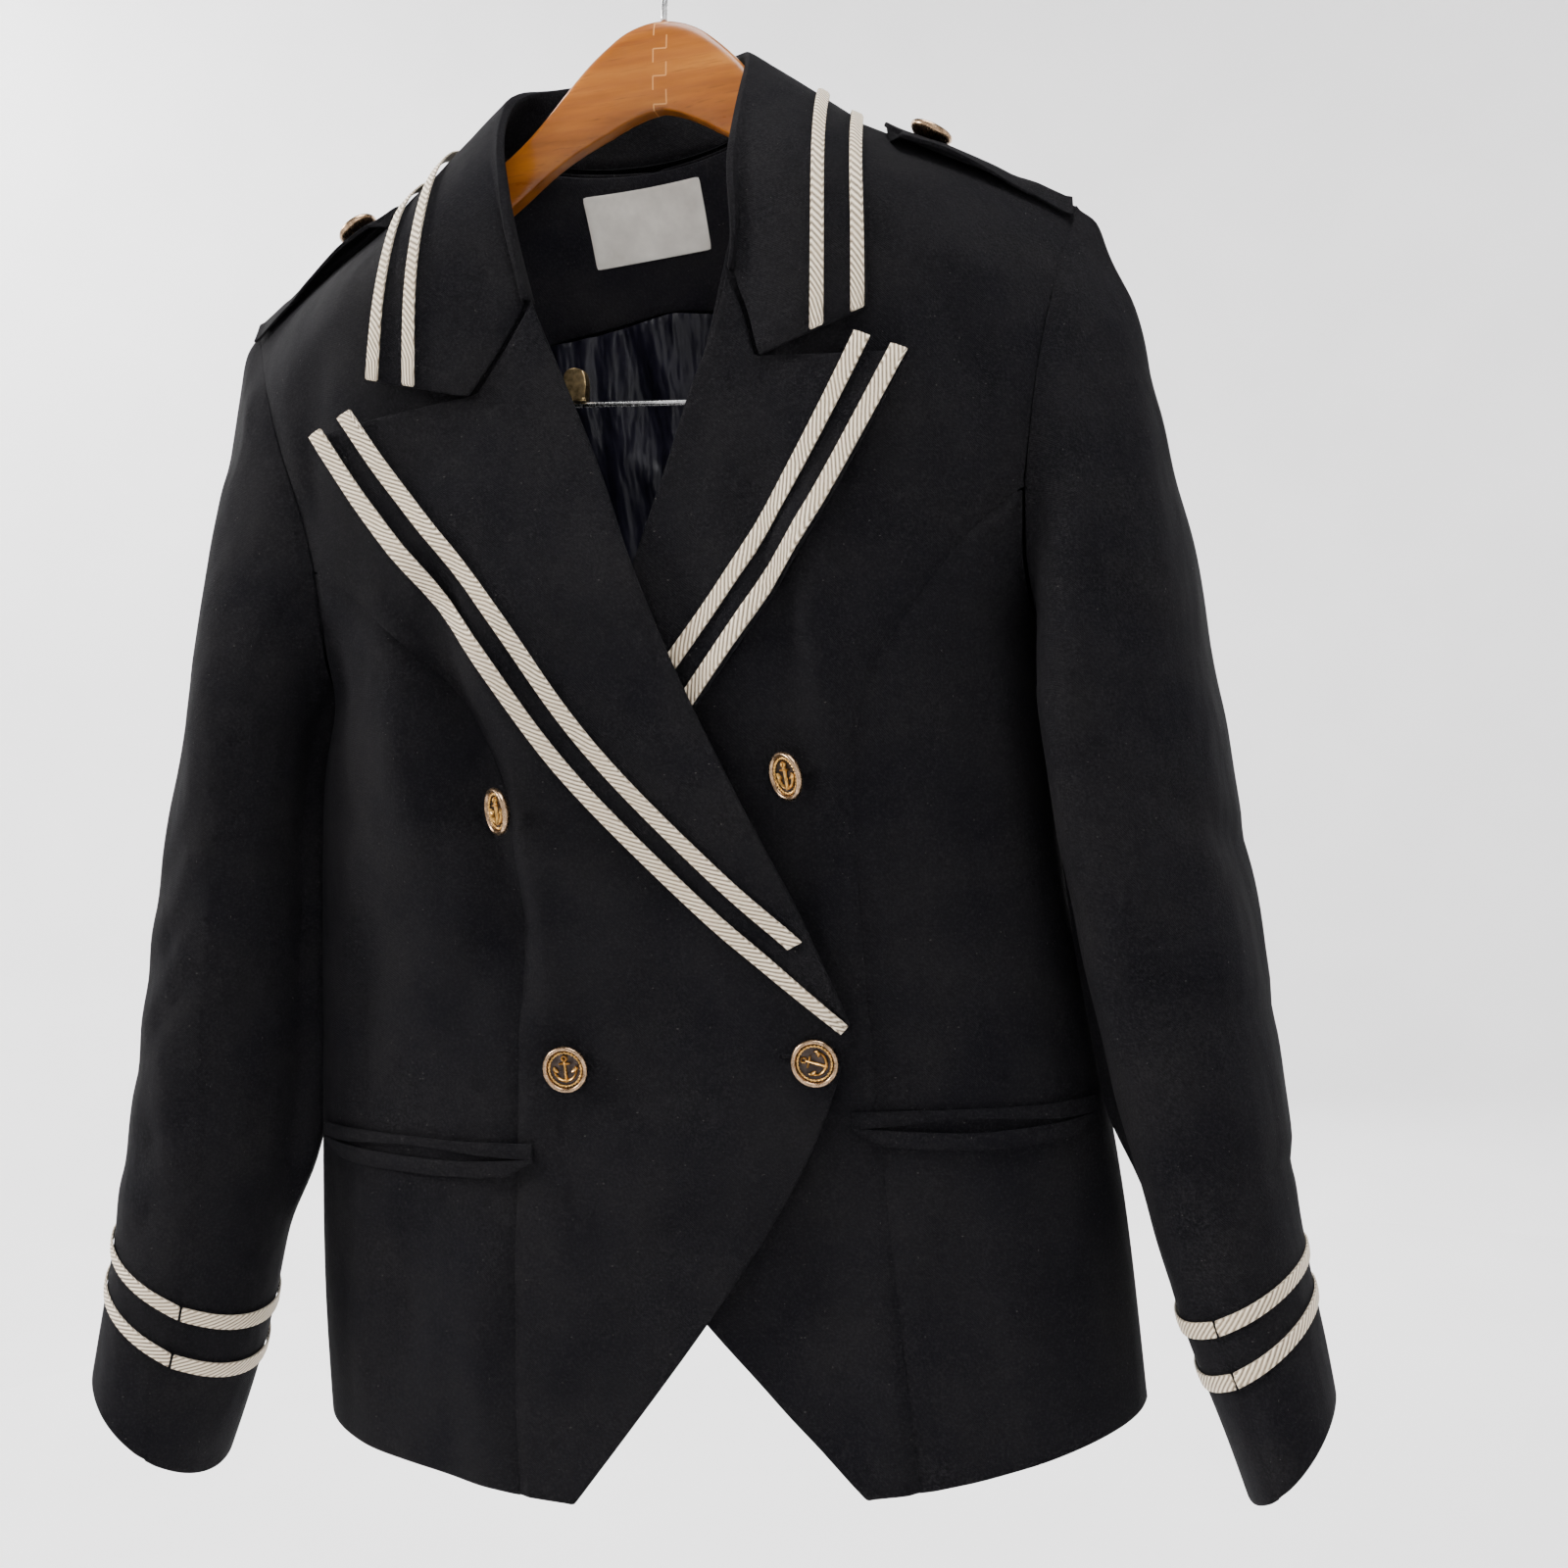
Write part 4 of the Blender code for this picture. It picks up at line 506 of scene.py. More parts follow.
def fold_depth(area, points):
    """How far the cloth is pushed in at each point."""
    x = points[:, 0] - GARMENT_X
    z = points[:, 2]
    depth = np.zeros(len(points))
    for place, x0, z0, x1, z1, half, amount in FOLDS:
        if place != area:
            continue
        run = (x1 - x0) ** 2 + (z1 - z0) ** 2
        along = ((x - x0) * (x1 - x0) + (z - z0) * (z1 - z0)) / run
        held = np.clip(along, 0.0, 1.0)
        away = np.hypot(x - (x0 + (x1 - x0) * held), z - (z0 + (z1 - z0) * held))
        wander = 1 + 0.25 * np.sin(7.0 * along + 40 * x0)
        fade = 0.45 + 0.55 * np.sin(math.pi * np.clip(along * 0.8 + 0.1, 0, 1))
        depth += amount * fade * np.exp(-((away / (half * wander)) ** 2))
    slow = np.sin(63 * x + 2.1 * np.sin(31 * z)) * np.sin(47 * z + 1.7 * np.sin(39 * x + 1.0))
    return depth + RIPPLE * slow


SLEEVE_AXIS = {
    # height, x of the middle in the garment's frame, depth
    -1: (
        (-0.200, -0.190, -0.010), (-0.400, -0.2235, -0.025),
        (-0.540, -0.250, -0.0265), (-0.730, -0.300, -0.038),
    ),
    1: (
        (-0.200, 0.196, -0.010), (-0.400, 0.210, -0.027),
        (-0.540, 0.222, -0.0275), (-0.750, 0.253, -0.040),
    ),
}


def side_of(points):
    return 1 if points[:, 0].mean() > GARMENT_X else -1


def sleeve_middle(points):
    """The sleeve's middle line at each point's height."""
    rows = sorted(SLEEVE_AXIS[side_of(points)])
    heights = [row[0] for row in rows]
    middle_x = np.interp(points[:, 2], heights, [row[1] for row in rows]) + GARMENT_X
    return middle_x, np.interp(points[:, 2], heights, [row[2] for row in rows])


def moved(area, points, keep, seams):
    """Points pushed in by creases and seams: fronts and backs along Y, sleeves towards their own middle."""
    depth = fold_depth(area, points) * keep + seams
    out = points.copy()
    if area != "sleeve":
        out[:, 1] += depth * (1 if area == "front" else -1)
        return out
    middle_x, middle_y = sleeve_middle(points)
    toward = np.stack([middle_x - points[:, 0], middle_y - points[:, 1]], axis=1)
    toward /= np.maximum(np.linalg.norm(toward, axis=1, keepdims=True), 1e-6)
    out[:, :2] += toward * depth[:, None]
    return out


SHOULDER_TOP, SHOULDER_FALL, NECK_HALF = -0.150, 0.565, 0.078
# Heights, and at each the distance from the garment's middle
SIDE_SEAM = (-0.72, -0.50, -0.374, -0.309, -0.25, -0.19), (0.192, 0.176, 0.172, 0.162, 0.176, 0.196)
ARMHOLE = (-0.374, -0.309, -0.252, -0.181), (0.176, 0.173, 0.182, 0.206)
UNDERARM_Z = -0.395
CUFF_Z = -0.640              # creases fade out over the braids from here
CUFF_DROP = 0.02             # the wearer's-left cuff lies this much lower


def keep_front(points):
    """Creases fade out at the shoulder seam, the side seam and the armhole, where two pieces meet."""
    x = np.abs(points[:, 0] - GARMENT_X)
    z = points[:, 2]
    shoulder = smooth_step((SHOULDER_TOP - SHOULDER_FALL * np.maximum(x - NECK_HALF, 0) - z) / 0.030)
    return shoulder * smooth_step((np.interp(z, *SIDE_SEAM) - x) / 0.020)


def keep_sleeve(points):
    """Creases fade out at the armhole and over the cuff's braids."""
    x = np.abs(points[:, 0] - GARMENT_X)
    z = points[:, 2]
    cap = smooth_step((x - np.interp(z, *ARMHOLE)) / 0.022)
    cap = np.where(z < UNDERARM_Z, 1.0, cap)
    return cap * smooth_step((z - CUFF_Z + CUFF_DROP * (points[:, 0] > 0)) / 0.03 + 0.15)


# Panels whose shared seams are sunk a little
SEAMED = {
    "front": ("side_front", "sleeve_upper", "sleeve_under"),
    "side_front": ("front", "sleeve_upper", "sleeve_under"),
    "back": ("side_back", "sleeve_upper", "sleeve_under"),
    "side_back": ("back", "sleeve_upper", "sleeve_under"),
    "sleeve_upper": ("front", "side_front", "back", "side_back", "sleeve_under"),
    "sleeve_under": ("front", "side_front", "back", "side_back", "sleeve_upper"),
}
SEAM_SINK, SEAM_REACH = 0.0014, 0.0060
SEAM_TOP = -0.200            # above this the armhole's seam runs over the shoulder and isn't sunk
TREES = {}


def tree_of(node):
    if node not in TREES:
        mesh = NODES[node].data
        corners = [vert.co.copy() for vert in mesh.vertices]
        TREES[node] = BVHTree.FromPolygons(corners, [tuple(face.vertices) for face in mesh.polygons])
    return TREES[node]


def seam_depth(node, points):
    """How far the cloth is drawn in along the seams that it shares with its neighbours."""
    depth = np.zeros(len(points))
    word, _, side = node.rpartition("_")
    others = [other + "_" + side for other in SEAMED.get(word, ()) if side in ("left", "right")]
    if word == "back" and others:
        others.append("back_right" if side == "left" else "back_left")
    for other in others:
        low, high = (np.array(corner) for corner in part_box(other))
        close = np.all((points > low - SEAM_REACH) & (points < high + SEAM_REACH), axis=1)
        tree = tree_of(other)
        for i in np.nonzero(close)[0]:
            away = tree.find_nearest(Vector(points[i]), SEAM_REACH)[3]
            if away is not None:
                depth[i] = max(depth[i], 1 - away / SEAM_REACH)
    return SEAM_SINK * smooth_step(depth) * smooth_step((SEAM_TOP - points[:, 2]) / 0.03)


# Where the collar is sewn to the lapels it lies level with them, and its fold runs on into theirs
COLLAR_SINK = 0.0048
FOLD_OUT = {-1: 0.0, 1: 0.0040}        # both lie this much further out there
COLLAR_TUCK = 0.0040                   # and the collar's fold edge alone this much more
COLLAR_FOLD = {
    # height, distance from the garment's middle
    -1: ((-0.2033, 0.0319), (-0.1700, 0.0399), (-0.1415, 0.0464), (-0.1130, 0.0532)),
    1: ((-0.2033, 0.0465), (-0.1700, 0.0554), (-0.1415, 0.0584), (-0.1130, 0.0608)),
}


GORGE_TOP, GORGE_BOTTOM, GORGE_HALF = -0.150, -0.262, 0.086


def near_gorge(points):
    """One at the seam between collar and lapel, fading to nothing round it."""
    x = np.abs(points[:, 0] - GARMENT_X)
    z = points[:, 2]
    height = smooth_step((GORGE_TOP - z) / 0.050) * smooth_step((z - GORGE_BOTTOM) / 0.045)
    return height * smooth_step((GORGE_HALF - x) / 0.030)


def settle_collar(points):
    """The collar's ends lie level with the lapels, and its fold edge is tucked towards theirs."""
    side = np.where(points[:, 0] > GARMENT_X, 1, -1)
    z = points[:, 2]
    folds = {}
    for word, rows in COLLAR_FOLD.items():
        folds[word] = np.interp(z, [row[0] for row in rows], [row[1] for row in rows])
    edge = np.where(side > 0, folds[1], folds[-1])
    beyond = np.abs(points[:, 0] - GARMENT_X) - edge
    front = smooth_step((-0.140 - z) / 0.060) * (points[:, 1] < 0)
    tuck = COLLAR_TUCK * front * smooth_step(1 - beyond / 0.010)
    near = near_gorge(points) * (points[:, 1] < 0)
    out = points.copy()
    out[:, 1] += COLLAR_SINK * near
    out[:, 0] += side * (np.where(side > 0, FOLD_OUT[1], FOLD_OUT[-1]) * near + tuck)
    return out


def settle_lapel(points):
    """The lapel's fold meets the collar's."""
    side = side_of(points)
    out = points.copy()
    out[:, 0] += side * FOLD_OUT[side] * near_gorge(points)
    return out


SLEEVE_LEAN = {-1: 0.012, 1: 0.010}    # the sleeve's under side lies this much nearer to the body
HEAD_RISE = 0.0030                     # the sleeve's head stands up beside the shoulder's end


def settle_sleeve(points):
    """The under side of a sleeve lies against the body, and its head is full beside the armhole's seam."""
    side = side_of(points)
    middle_x, middle_y = sleeve_middle(points)
    z = points[:, 2]
    inward = smooth_step(side * (middle_x - points[:, 0]) / 0.020)
    behind = smooth_step((points[:, 1] - middle_y + 0.004) / 0.014)
    reach = smooth_step((-0.315 - z) / 0.040) * smooth_step((z + 0.640) / 0.060)
    out = points.copy()
    out[:, 0] -= side * SLEEVE_LEAN[side] * inward * behind * reach
    beside = np.abs(points[:, 0] - GARMENT_X) - np.interp(z, *ARMHOLE)
    rise = HEAD_RISE * np.exp(-(((beside - 0.008) / 0.007) ** 2)) * smooth_step((z + 0.275) / 0.05)
    out[:, 0] += side * 0.5 * rise
    out[:, 2] += 0.85 * rise
    return out


def limits(along, height, count):
    """The highest and the lowest point of a bar at each place along it."""
    steps = np.linspace(along.min(), along.max(), count + 1)
    places = (steps[:-1] + steps[1:]) / 2
    which = np.clip(np.digitize(along, steps) - 1, 0, count - 1)
    held = [i for i in range(count) if (which == i).any()]
    top = np.interp(along, places[held], [height[which == i].max() for i in held])
    return top, np.interp(along, places[held], [height[which == i].min() for i in held])


ARCH_SINK, ARCH_HALF = 0.0035, 0.026   # the hanger's lower edge drops this far on each side of its point


def settle_hanger(points):
    """The hanger's lower edge comes to a point at its middle."""
    cosine, sine = math.cos(HANGER_TILT), math.sin(HANGER_TILT)
    along = points[:, 0] * cosine + points[:, 2] * sine
    height = points[:, 2] * cosine - points[:, 0] * sine
    top, bottom = limits(along, height, 60)
    low = smooth_step((top - height) / np.maximum(top - bottom, 1e-6))
    away = np.abs(along)
    drop = ARCH_SINK * np.minimum(away / ARCH_HALF, 1.0) * smooth_step((0.062 - away) / 0.032)
    out = points.copy()
    out[:, 2] -= low * drop
    return out


RIDGE_Y = -0.008             # depth of the shoulder seam
STRAP_TURN = 0.50            # the strap's front half is this much shorter at the sleeve
STRAP_REACH = 0.007          # its front corner at the neck reaches this far inward


def settle_strap(points):
    """The strap's front edge rises towards the sleeve, as if the strap were turned a little backward."""
    x = np.abs(points[:, 0] - GARMENT_X)
    ridge = limits(x, points[:, 2], 14)[0]
    share = 1 - STRAP_TURN * smooth_step((x - 0.125) / 0.070) * (points[:, 1] < RIDGE_Y)
    front = smooth_step((RIDGE_Y - points[:, 1]) / 0.012)
    reach = STRAP_REACH * front * smooth_step((x.min() + 0.030 - x) / 0.030)
    out = points.copy()
    out[:, 0] -= reach * np.sign(points[:, 0] - GARMENT_X)
    out[:, 1] = RIDGE_Y + (points[:, 1] - RIDGE_Y) * share
    out[:, 2] = ridge + (points[:, 2] - ridge) * share
    return out


WELT_END, WELT_TAPER = 0.016, 0.30
MOUTH = 0.45                 # the upper lip is this much narrower in the middle of the pocket


def settle_welt(points):
    """The lower lip of a pocket grows thin at both ends."""
    along = points[:, 0]
    top = limits(along, points[:, 2], 24)[0]
    near = np.minimum(along - along.min(), along.max() - along) / WELT_END
    share = WELT_TAPER + (1 - WELT_TAPER) * smooth_step(near)
    out = points.copy()
    out[:, 2] = top + (points[:, 2] - top) * share
    return out


def settle_lip(points):
    """The upper lip of a pocket stands open in the middle."""
    along = points[:, 0]
    top = limits(along, points[:, 2], 24)[0]
    near = np.minimum(along - along.min(), along.max() - along) / np.ptp(along) * 2
    out = points.copy()
    out[:, 2] = top + (points[:, 2] - top) * (1 - MOUTH * smooth_step(near))
    return out


LINING_CLEAR = 0.0030        # the lining stays this far inside the back's creases and seams
LINING_TOP = -0.205          # it is sewn to the neck facing here, and isn't moved


def settle_lining(points):
    """The lining keeps inside the back, which is pressed in by its own creases."""
    creases = np.maximum(fold_depth("back", points), 0.0) * keep_front(points)
    out = points.copy()
    out[:, 1] -= creases + LINING_CLEAR * smooth_step((LINING_TOP - points[:, 2]) / 0.060)
    return out


def finish_mesh(piece, look, angle=40):
    mesh = piece.data
    mesh.materials.clear()
    mesh.materials.append(look)
    mesh.shade_smooth()
    mesh.set_sharp_from_angle(angle=math.radians(angle))


def copy_of(node, look, levels=2, area=None, keep=None, crease=0.9, shape=None):
    """The visible piece that stands for a cloth solid."""
    mesh = finer_mesh(node, levels, crease, LET_OUT if area else 0.0, EDGE_ROUND)
    points = points_of(mesh)
    seams = seam_depth(node, points)
    if shape:
        points = shape(points)
    if area:
        points = moved(area, points, 1.0 if keep is None else keep(points), seams)
    set_points(mesh, points)
    piece = new_object(node + "_cloth", mesh)
    finish_mesh(piece, look)
    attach(piece, "root")
    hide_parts(node)
    return piece


# Braids get a run and a width of their own, so that their ribs follow them

RUN_STEPS = 40
RUN_PAST = 0.02              # the first and last steps reach past the braid's ends
COLLAR_CENTRE_Y = -0.010


def braid_run(points, normals, kind):
    """Distance along a braid and across it, from its middle line."""
    x = points[:, 0] - GARMENT_X
    y = points[:, 1]
    if kind == "lapel":
        key = -points[:, 2]
    elif kind == "cuff":
        key = np.arctan2(points[:, 0] - points[:, 0].mean(), y.mean() - y)
    else:
        key = np.arctan2(x, COLLAR_CENTRE_Y - y) % (2 * math.pi)
    edges = np.linspace(key.min(), key.max(), RUN_STEPS + 1)
    centres = []
    for low, high in zip(edges[:-1], edges[1:]):
        inside = (key >= low) & (key <= high)
        if inside.any():
            centres.append(points[inside].mean(axis=0))
    centres = np.array(centres)
    centres[1:-1] = (centres[:-2] + 2 * centres[1:-1] + centres[2:]) / 4
    steps = np.diff(centres, axis=0)
    lengths = np.linalg.norm(steps, axis=1)
    tangents = steps / lengths[:, None]
    starts = np.concatenate([[0], np.cumsum(lengths)])
    best = np.full(len(points), np.inf)
    run = np.zeros(len(points))
    across = np.zeros(len(points))
    for i, tangent in enumerate(tangents):
        away = points - centres[i]
        along = away @ tangent
        reach_low = -RUN_PAST if i == 0 else 0.0
        reach_high = lengths[i] + (RUN_PAST if i == len(tangents) - 1 else 0.0)
        held = np.clip(along, reach_low, reach_high)
        offset = away - held[:, None] * tangent
        distance = np.linalg.norm(offset, axis=1)
        nearer = distance < best
        best[nearer] = distance[nearer]
        run[nearer] = starts[i] + held[nearer]
        sideways = np.cross(tangent, normals)
        sideways /= np.maximum(np.linalg.norm(sideways, axis=1, keepdims=True), 1e-9)
        across[nearer] = (offset * sideways).sum(axis=1)[nearer]
    return run, across


def braid_piece(node, look, kind, area=None, keep=None, shape=None):
    piece = copy_of(node, look, 2, area, keep, 0.75, shape)
    mesh = piece.data
    normals = np.empty(len(mesh.vertices) * 3)
    mesh.vertices.foreach_get("normal", normals)
    run, across = braid_run(points_of(mesh), normals.reshape(-1, 3), kind)
    layer = mesh.uv_layers.new(name="run")
    corner = np.empty(len(mesh.loops), int)
    mesh.loops.foreach_get("vertex_index", corner)
    layer.data.foreach_set("uv", np.stack([run[corner], across[corner]], axis=1).reshape(-1))
    return piece


# Buttons

BUTTON_RADIUS = 0.0108
BUTTON_BACK = 0.0023         # from the middle of a button's solid to its back
BUTTON_STEPS = 64
RECESS_SHARE, RECESS_Z = 0.78, 0.002     # the dark floor lies inside and above these
STRAP_SINK = 0.0028          # the smoothed strap lies this much under its solid's ridge
# name: normal, up, share of the full size
BUTTON_FRAMES = {
    "lower_left": ((0.0, -0.999, -0.045), (-0.949, -0.014, 0.315), 1.0),
    "lower_right": ((0.0, -0.999, -0.048), (0.0, -0.048, 0.999), 1.0),
    "upper_left": ((-0.665, -0.736, -0.128), (-0.086, -0.095, 0.992), 1.0),
    "upper_right": ((-0.698, -0.714, -0.054), (-0.038, -0.038, 0.999), 1.0),
    "epaulette_left": ((0.493, 0.021, 0.870), (-0.869, -0.037, 0.494), 0.95),
    "epaulette_right": ((-0.493, 0.021, 0.870), (0.869, -0.037, 0.494), 0.95),
}
BUTTON_TURNING = (
    # radius share, height in metres
    (0.02, 0.0000), (0.50, 0.0000), (0.80, 0.0006), (0.95, 0.0018), (1.00, 0.0030), (0.99, 0.0038),
    (0.955, 0.0044), (0.90, 0.0047), (0.845, 0.0045), (0.80, 0.0038), (0.785, 0.0029), (0.70, 0.0026),
    (0.40, 0.0025), (0.02, 0.0025),
)
ROPE_RADIUS, ROPE_THICK, ROPE_TURNS = 0.715, 0.00052, 30
ROPE_HEIGHT, ROPE_BULGE = 0.0031, 0.32


def ring_of(work, radius, height, steps):
    turns = [2 * math.pi * i / steps for i in range(steps)]
    return [work.verts.new((radius * math.cos(t), radius * math.sin(t), height)) for t in turns]


def turned_mesh(name, profile, radius, steps):
    work = bmesh.new()
    rings = [ring_of(work, radius * share, height, steps) for share, height in profile]
    join_rings(work, rings)
    work.faces.new(rings[0][::-1])
    work.faces.new(rings[-1])
    return mesh_from(work, name)


def rope_mesh(name, radius):
    """A ring of twisted rope: two strands' worth of bulge that winds round the ring."""
    around, section = 180, 10
    work = bmesh.new()
    rings = []
    for i in range(around):
        turn = 2 * math.pi * i / around
        ring = []
        for j in range(section):
            angle = 2 * math.pi * j / section
            bulge = ROPE_THICK * (1 + ROPE_BULGE * math.cos(2 * angle - ROPE_TURNS * turn))
            out = radius * ROPE_RADIUS + bulge * math.cos(angle)
            height = ROPE_HEIGHT + bulge * math.sin(angle)
            ring.append(work.verts.new((out * math.cos(turn), out * math.sin(turn), height)))
        rings.append(ring)
    join_rings(work, rings, closed=True)
    return mesh_from(work, name)


def bar_into(work, path, width, low, high):
    """A rounded relief bar along a path in the button's plane."""
    section = ((-1.0, 0.0), (-0.75, 0.7), (0.0, 1.0), (0.75, 0.7), (1.0, 0.0))
    rows = []
    for i, (x, y, share) in enumerate(path):
        before = path[max(i - 1, 0)]
        after = path[min(i + 1, len(path) - 1)]
        dx, dy = after[0] - before[0], after[1] - before[1]
        length = math.hypot(dx, dy)
        nx, ny = -dy / length, dx / length
        rows.append([
            work.verts.new((x + nx * u * width * share, y + ny * u * width * share, low + (high - low) * v))
            for u, v in section
        ])
    join_rings(work, rows)
    work.faces.new(rows[0][::-1])
    work.faces.new(rows[-1])


# The anchor, in shares of the button's radius: x, y and share of the bar's width
ANCHOR_LOW, ANCHOR_HIGH = 0.0026, 0.0040
EYE_RADIUS, EYE_Y = 0.105, 0.47
SHANK = ((0.0, 0.37, 1.0), (0.0, 0.10, 1.1), (0.0, -0.20, 1.2), (0.0, -0.47, 1.3), (0.0, -0.55, 0.4))
STOCK = ((-0.25, 0.25, 0.9), (-0.1, 0.25, 1.1), (0.1, 0.25, 1.1), (0.25, 0.25, 0.9))
BARB = ((0.30, -0.10, 0.3), (0.42, -0.06, 1.5), (0.50, 0.06, 1.0), (0.47, 0.14, 0.2))
ARM_WIDE, ARM_HIGH, ARM_Y, ARM_TURN = 0.48, 0.46, -0.02, 1.4


def arm_point(turn):
    share = 1.25 - 0.55 * abs(turn) / ARM_TURN
    return ARM_WIDE * math.sin(turn), ARM_Y - ARM_HIGH * math.cos(turn), share


def anchor_mesh(name, radius):
    """An anchor in relief: eye, stock, shank, and two arms that end in barbs."""
    work = bmesh.new()
    turns = np.linspace(-1.2, 4.34, 15)
    eye = [(EYE_RADIUS * math.cos(t), EYE_Y + EYE_RADIUS * math.sin(t), 1.0) for t in turns]
    arms = [arm_point(t) for t in np.linspace(-ARM_TURN, ARM_TURN, 17)]
    barbs = [[(side * x, y, share) for x, y, share in BARB] for side in (-1, 1)]
    bars = ((eye, 0.045), (SHANK, 0.055), (STOCK, 0.05), (arms, 0.06), (barbs[0], 0.075), (barbs[1], 0.075))
    for path, width in bars:
        scaled = [(x * radius, y * radius, share) for x, y, share in path]
        bar_into(work, scaled, width * radius, ANCHOR_LOW, ANCHOR_HIGH)
    return mesh_from(work, name)


def make_button(name, silver, gold, recess):
    normal, up, share = BUTTON_FRAMES[name]
    low, high = (np.array(corner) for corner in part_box("button_" + name))
    normal = Vector(normal).normalized()
    up = (Vector(up) - normal * Vector(up).dot(normal)).normalized()
    right = up.cross(normal)
    sunk = STRAP_SINK if "epaulette" in name else 0.0
    middle = Vector((low + high) / 2) - normal * (BUTTON_BACK + sunk)
    place = Matrix.Translation(middle) @ Matrix((right, up, normal)).transposed().to_4x4()
    radius = BUTTON_RADIUS * share
    turned = turned_mesh("button_" + name, BUTTON_TURNING, radius, BUTTON_STEPS)
    body = new_object("button_" + name + "_metal", turned)
    rope = new_object("button_" + name + "_rope", rope_mesh("rope_" + name, radius))
    anchor = new_object("anchor_" + name + "_gold", anchor_mesh("anchor_" + name, radius))
    for piece, look in ((body, silver), (rope, gold), (anchor, gold)):
        piece.data.transform(place)
        finish_mesh(piece, look, 50)
        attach(piece, "root")
    body.data.materials.append(recess)
    for face in body.data.polygons:
        centre = place.inverted() @ face.center
        if math.hypot(centre.x, centre.y) < RECESS_SHARE * radius and centre.z > RECESS_Z:
            face.material_index = 1
    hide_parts("button_" + name)
    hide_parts("anchor_" + name)


# Buttonhole under the closing button: a worked slit, one end of it showing beside the button

BUTTONHOLE = (0.0470, 0.0690, -0.5475)    # from and to in the garment's own frame, and height
BUTTONHOLE_Y = -0.0652
BUTTONHOLE_HALF, THREAD = 0.0011, 0.00045
BUTTONHOLE_STEPS, THREAD_STEPS = 40, 8


def unit_2d(x, z):
    length = math.hypot(x, z)
    return x / length, z / length


def make_buttonhole(look):
    """A thread bead all round the slit, a little thicker at every second stitch."""
    low, high, z = BUTTONHOLE
    path = []
    for i in range(BUTTONHOLE_STEPS):
        turn = 2 * math.pi * i / BUTTONHOLE_STEPS
        end = high if math.cos(turn) > 0 else low
        path.append((end + BUTTONHOLE_HALF * math.cos(turn), z + BUTTONHOLE_HALF * math.sin(turn)))
    work = bmesh.new()
    rings = []
    for i, (x, z_here) in enumerate(path):
        bead = THREAD * (1.0 + 0.18 * (i % 2))
        out_x, out_z = unit_2d(x - min(max(x, low), high), z_here - z)
        ring = []
        for j in range(THREAD_STEPS):
            turn = 2 * math.pi * j / THREAD_STEPS
            reach, front = bead * math.cos(turn), bead * math.sin(turn)
            place = (x + GARMENT_X + out_x * reach, BUTTONHOLE_Y - front, z_here + out_z * reach)
            ring.append(work.verts.new(place))
        rings.append(ring)
    join_rings(work, rings, closed=True)
    bmesh.ops.recalc_face_normals(work, faces=work.faces)
    piece = new_object("buttonhole_stitched", mesh_from(work, "buttonhole"))
    finish_mesh(piece, look)
    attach(piece, "root")


# Ground and light

GROUND_Z = -1.35
# Radius and height above the floor
BOWL = ((2.2, 0.0), (2.9, 0.12), (3.5, 0.55), (3.8, 1.2), (3.9, 2.2), (3.9, 4.2))
BOWL_STEPS = 96


def make_ground():
    """A pale floor that curves up into a pale wall all the way round."""
    work = bmesh.new()
    rings = [ring_of(work, radius, GROUND_Z + height, BOWL_STEPS) for radius, height in BOWL]
    work.faces.new(rings[0])
    join_rings(work, rings)
    ground = new_object("ground", mesh_from(work, "ground"))
    finish_mesh(ground, pale_plaster(), 60)


CHEST = (-0.03, 0.0, -0.42)
LIGHTS = (
    # name, place, looks at, size, watts, color
    ("key", (-2.45, -0.70, 0.90), CHEST, 0.7, 122.0, (1.0, 0.985, 0.96)),
    ("fill", (1.50, -2.30, 0.20), CHEST, 2.0, 14.0, (0.96, 0.98, 1.0)),
    ("top", (0.35, -0.45, 1.60), CHEST, 1.3, 76.0, (1.0, 1.0, 1.0)),
    ("back", (0.40, 2.20, 0.30), CHEST, 2.4, 36.0, (1.0, 1.0, 1.0)),
    ("wash", (-2.40, 1.40, 1.70), (-0.60, 3.80, -0.50), 1.8, 152.0, (1.0, 1.0, 1.0)),
)
WORLD_COLOR, WORLD_STRENGTH = (0.95, 0.96, 1.0, 1.0), 0.27


def make_lights():
    for name, place, looks_at, size, watts, color in LIGHTS:
        data = bpy.data.lights.new(name, "AREA")
        data.shape = "DISK"
        data.size = size
        data.energy = watts
        data.color = color
        lamp = bpy.data.objects.new(name, data)
        lamp.location = place
        lamp.rotation_euler = (Vector(looks_at) - Vector(place)).to_track_quat("-Z", "Y").to_euler()
        bpy.context.scene.collection.objects.link(lamp)
    world = bpy.data.worlds.new("world")
    world.use_nodes = True
    background = world.node_tree.nodes["Background"]
    background.inputs["Color"].default_value = WORLD_COLOR
    background.inputs["Strength"].default_value = WORLD_STRENGTH
    bpy.context.scene.world = world


FACING_PAINTED_LIGHT = 2.6           # painted light: the facing's colours are made this many times lighter, for the light it catches with little shade from the collar
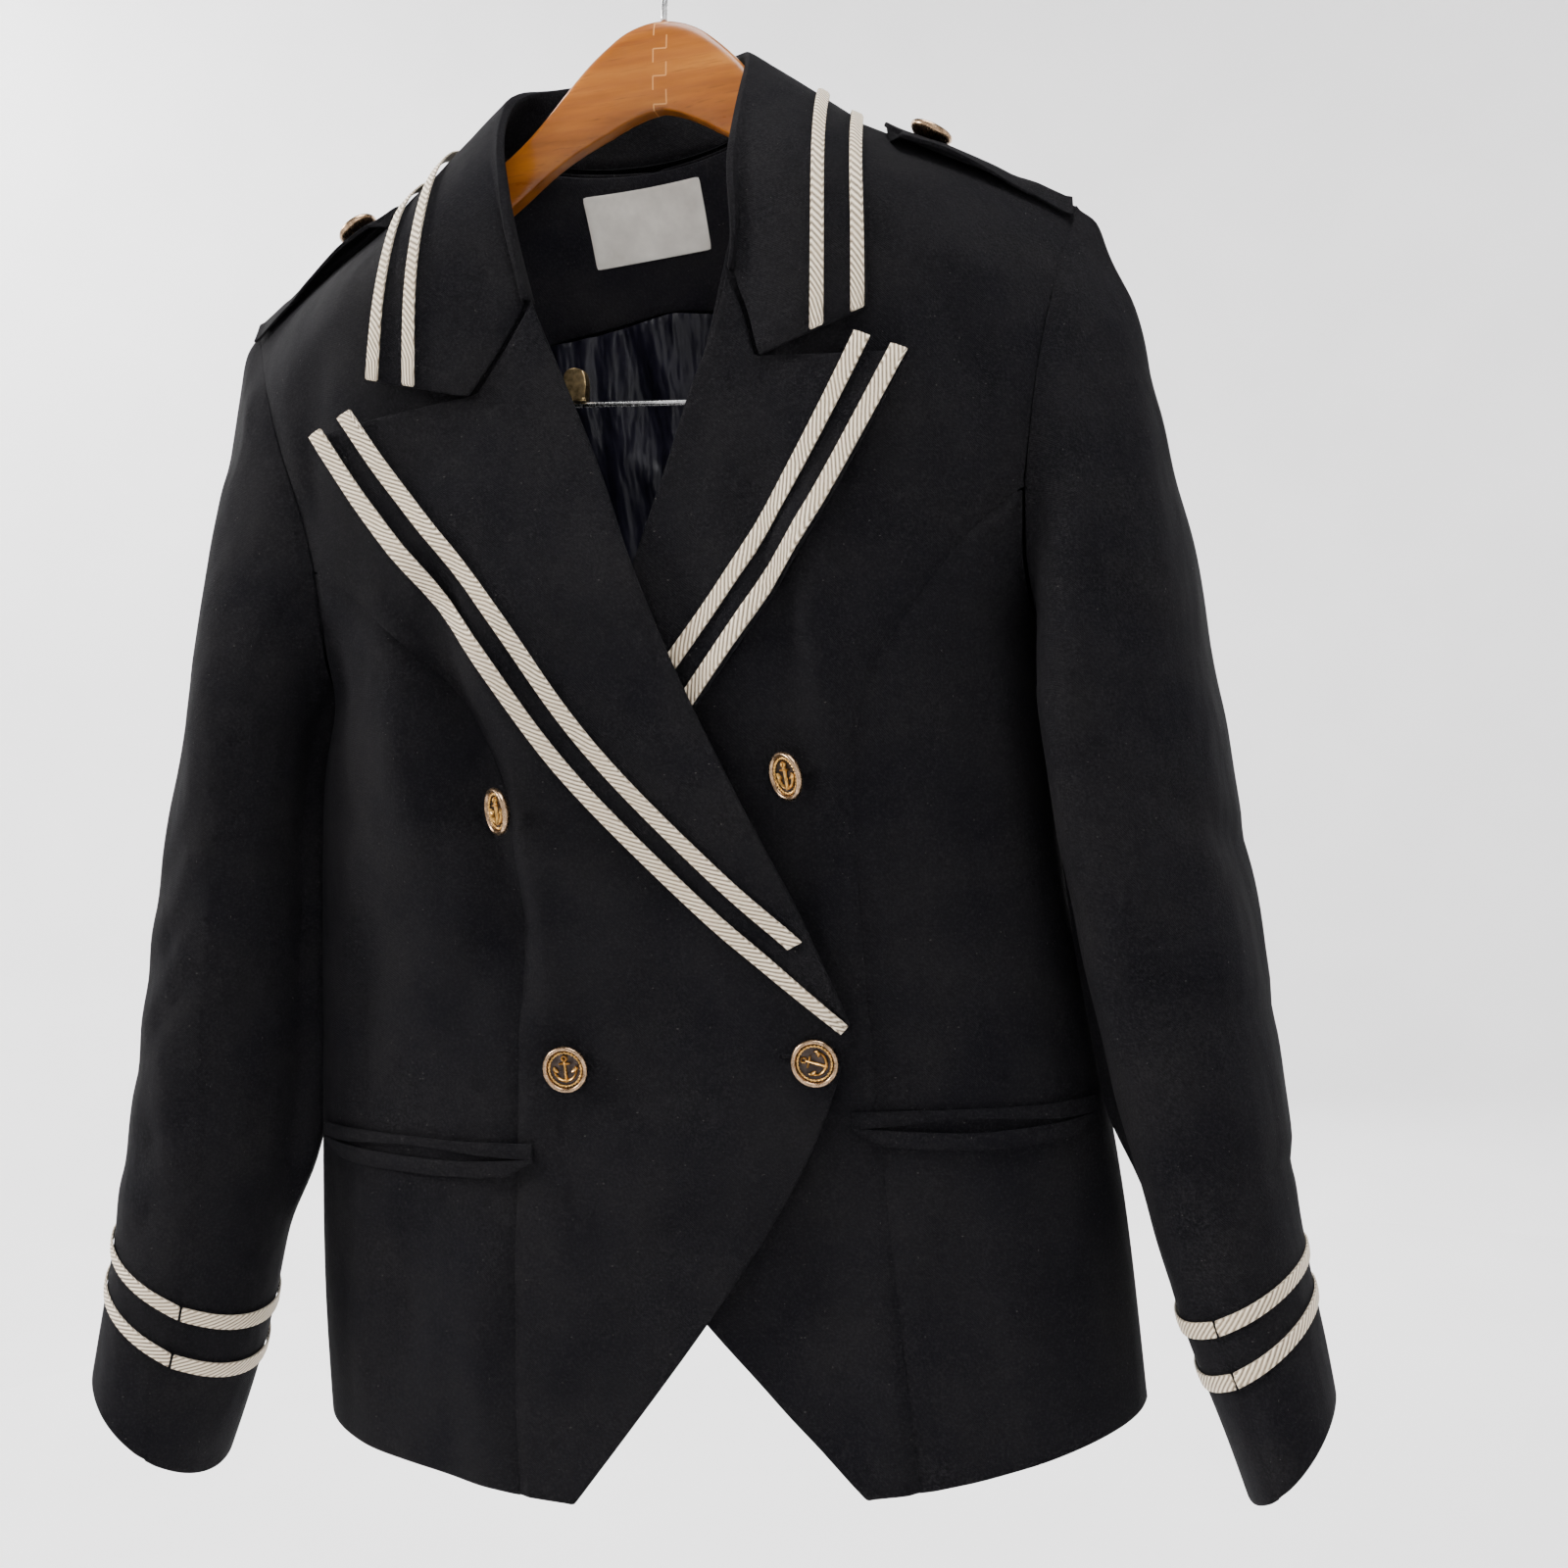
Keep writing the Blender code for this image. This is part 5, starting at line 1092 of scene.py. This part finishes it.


def cloth_pieces(wool):
    """Every sheet of cloth and every braid, by the name of its solid."""
    sleeve_wool = suiting("creased_suiting", crumple=0.0070)
    tape = braid()
    pieces = {}
    for side in ("left", "right"):
        for node, shape in (("front_", None), ("side_front_", None), ("lapel_", settle_lapel)):
            pieces[node + side] = copy_of(node + side, wool, 3, "front", keep_front, shape=shape)
        for node in ("back_", "side_back_"):
            pieces[node + side] = copy_of(node + side, wool, 2, "back", keep_front)
        for word in ("sleeve_upper_", "sleeve_under_"):
            node = word + side
            pieces[node] = copy_of(node, sleeve_wool, 3, "sleeve", keep_sleeve, shape=settle_sleeve)
        pieces["epaulette_" + side] = copy_of("epaulette_" + side, wool, 3, shape=settle_strap)
        for word, shape in (("upper", settle_lip), ("lower", settle_welt)):
            welt = "pocket_welt_" + word + "_" + side
            pieces[welt] = copy_of(welt, wool, 3, "front", keep_front, shape=shape)
            cuff = "cuff_braid_" + word + "_" + side
            pieces[cuff] = braid_piece(cuff, tape, "cuff")
        for word in ("inner", "outer"):
            node = "lapel_braid_" + word + "_" + side
            pieces[node] = braid_piece(node, tape, "lapel", "front", keep_front)
    pieces["collar"] = copy_of("collar", wool, 2, shape=settle_collar)
    for word in ("inner", "outer"):
        node = "collar_braid_" + word
        pieces[node] = braid_piece(node, tape, "collar", shape=settle_collar)
    # painted light: the neck facing is a copy of the wool with lightened colours, for the light that
    # reaches it
    pieces["neck_facing"] = copy_of("neck_facing", suiting("facing_cloth", FACING_PAINTED_LIGHT, 0.3), 2)
    pieces["back_lining"] = copy_of("back_lining", satin(), 2, "lining", shape=settle_lining)
    pieces["label"] = copy_of("label", label_cloth(), 3)
    return pieces


def hard_piece(node, word, levels, crease, look, angle, shape=None):
    """The visible piece that stands for a solid of the hanger."""
    mesh = finer_mesh(node, levels, crease)
    if shape:
        set_points(mesh, shape(points_of(mesh)))
    piece = new_object(node + word, mesh)
    finish_mesh(piece, look, angle)
    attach(piece, "root")
    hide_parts(node)


def make_hanger():
    hard_piece("hanger_wood", "_varnished", 3, 0.55, varnished_wood(), 60, settle_hanger)
    steel = plated("plated_steel", (0.62, 0.62, 0.62), 0.24, 0.6)
    for node in ("hook", "trouser_bar"):
        hard_piece(node, "_wire", 2, 1.0, steel, 50)
    brass = plated("worn_brass", (0.55, 0.40, 0.20), 0.35, 0.35)
    hard_piece("bar_clip", "_brass", 2, 0.8, brass, 40)


def make_buttons():
    silver = plated("warm_silver", (0.42, 0.28, 0.17), 0.26, 0.35)
    gold = plated("gold_wash", (0.62, 0.36, 0.11), 0.32, 0.35)
    recess = plated("dark_recess", (0.060, 0.046, 0.040), 0.42, 0.5)
    for name in BUTTON_FRAMES:
        make_button(name, silver, gold, recess)


def main():
    make_camera()
    wool = suiting("wool_suiting")
    pieces = cloth_pieces(wool)
    make_hanger()
    make_buttons()
    make_buttonhole(wool)
    make_ground()
    make_lights()


main()
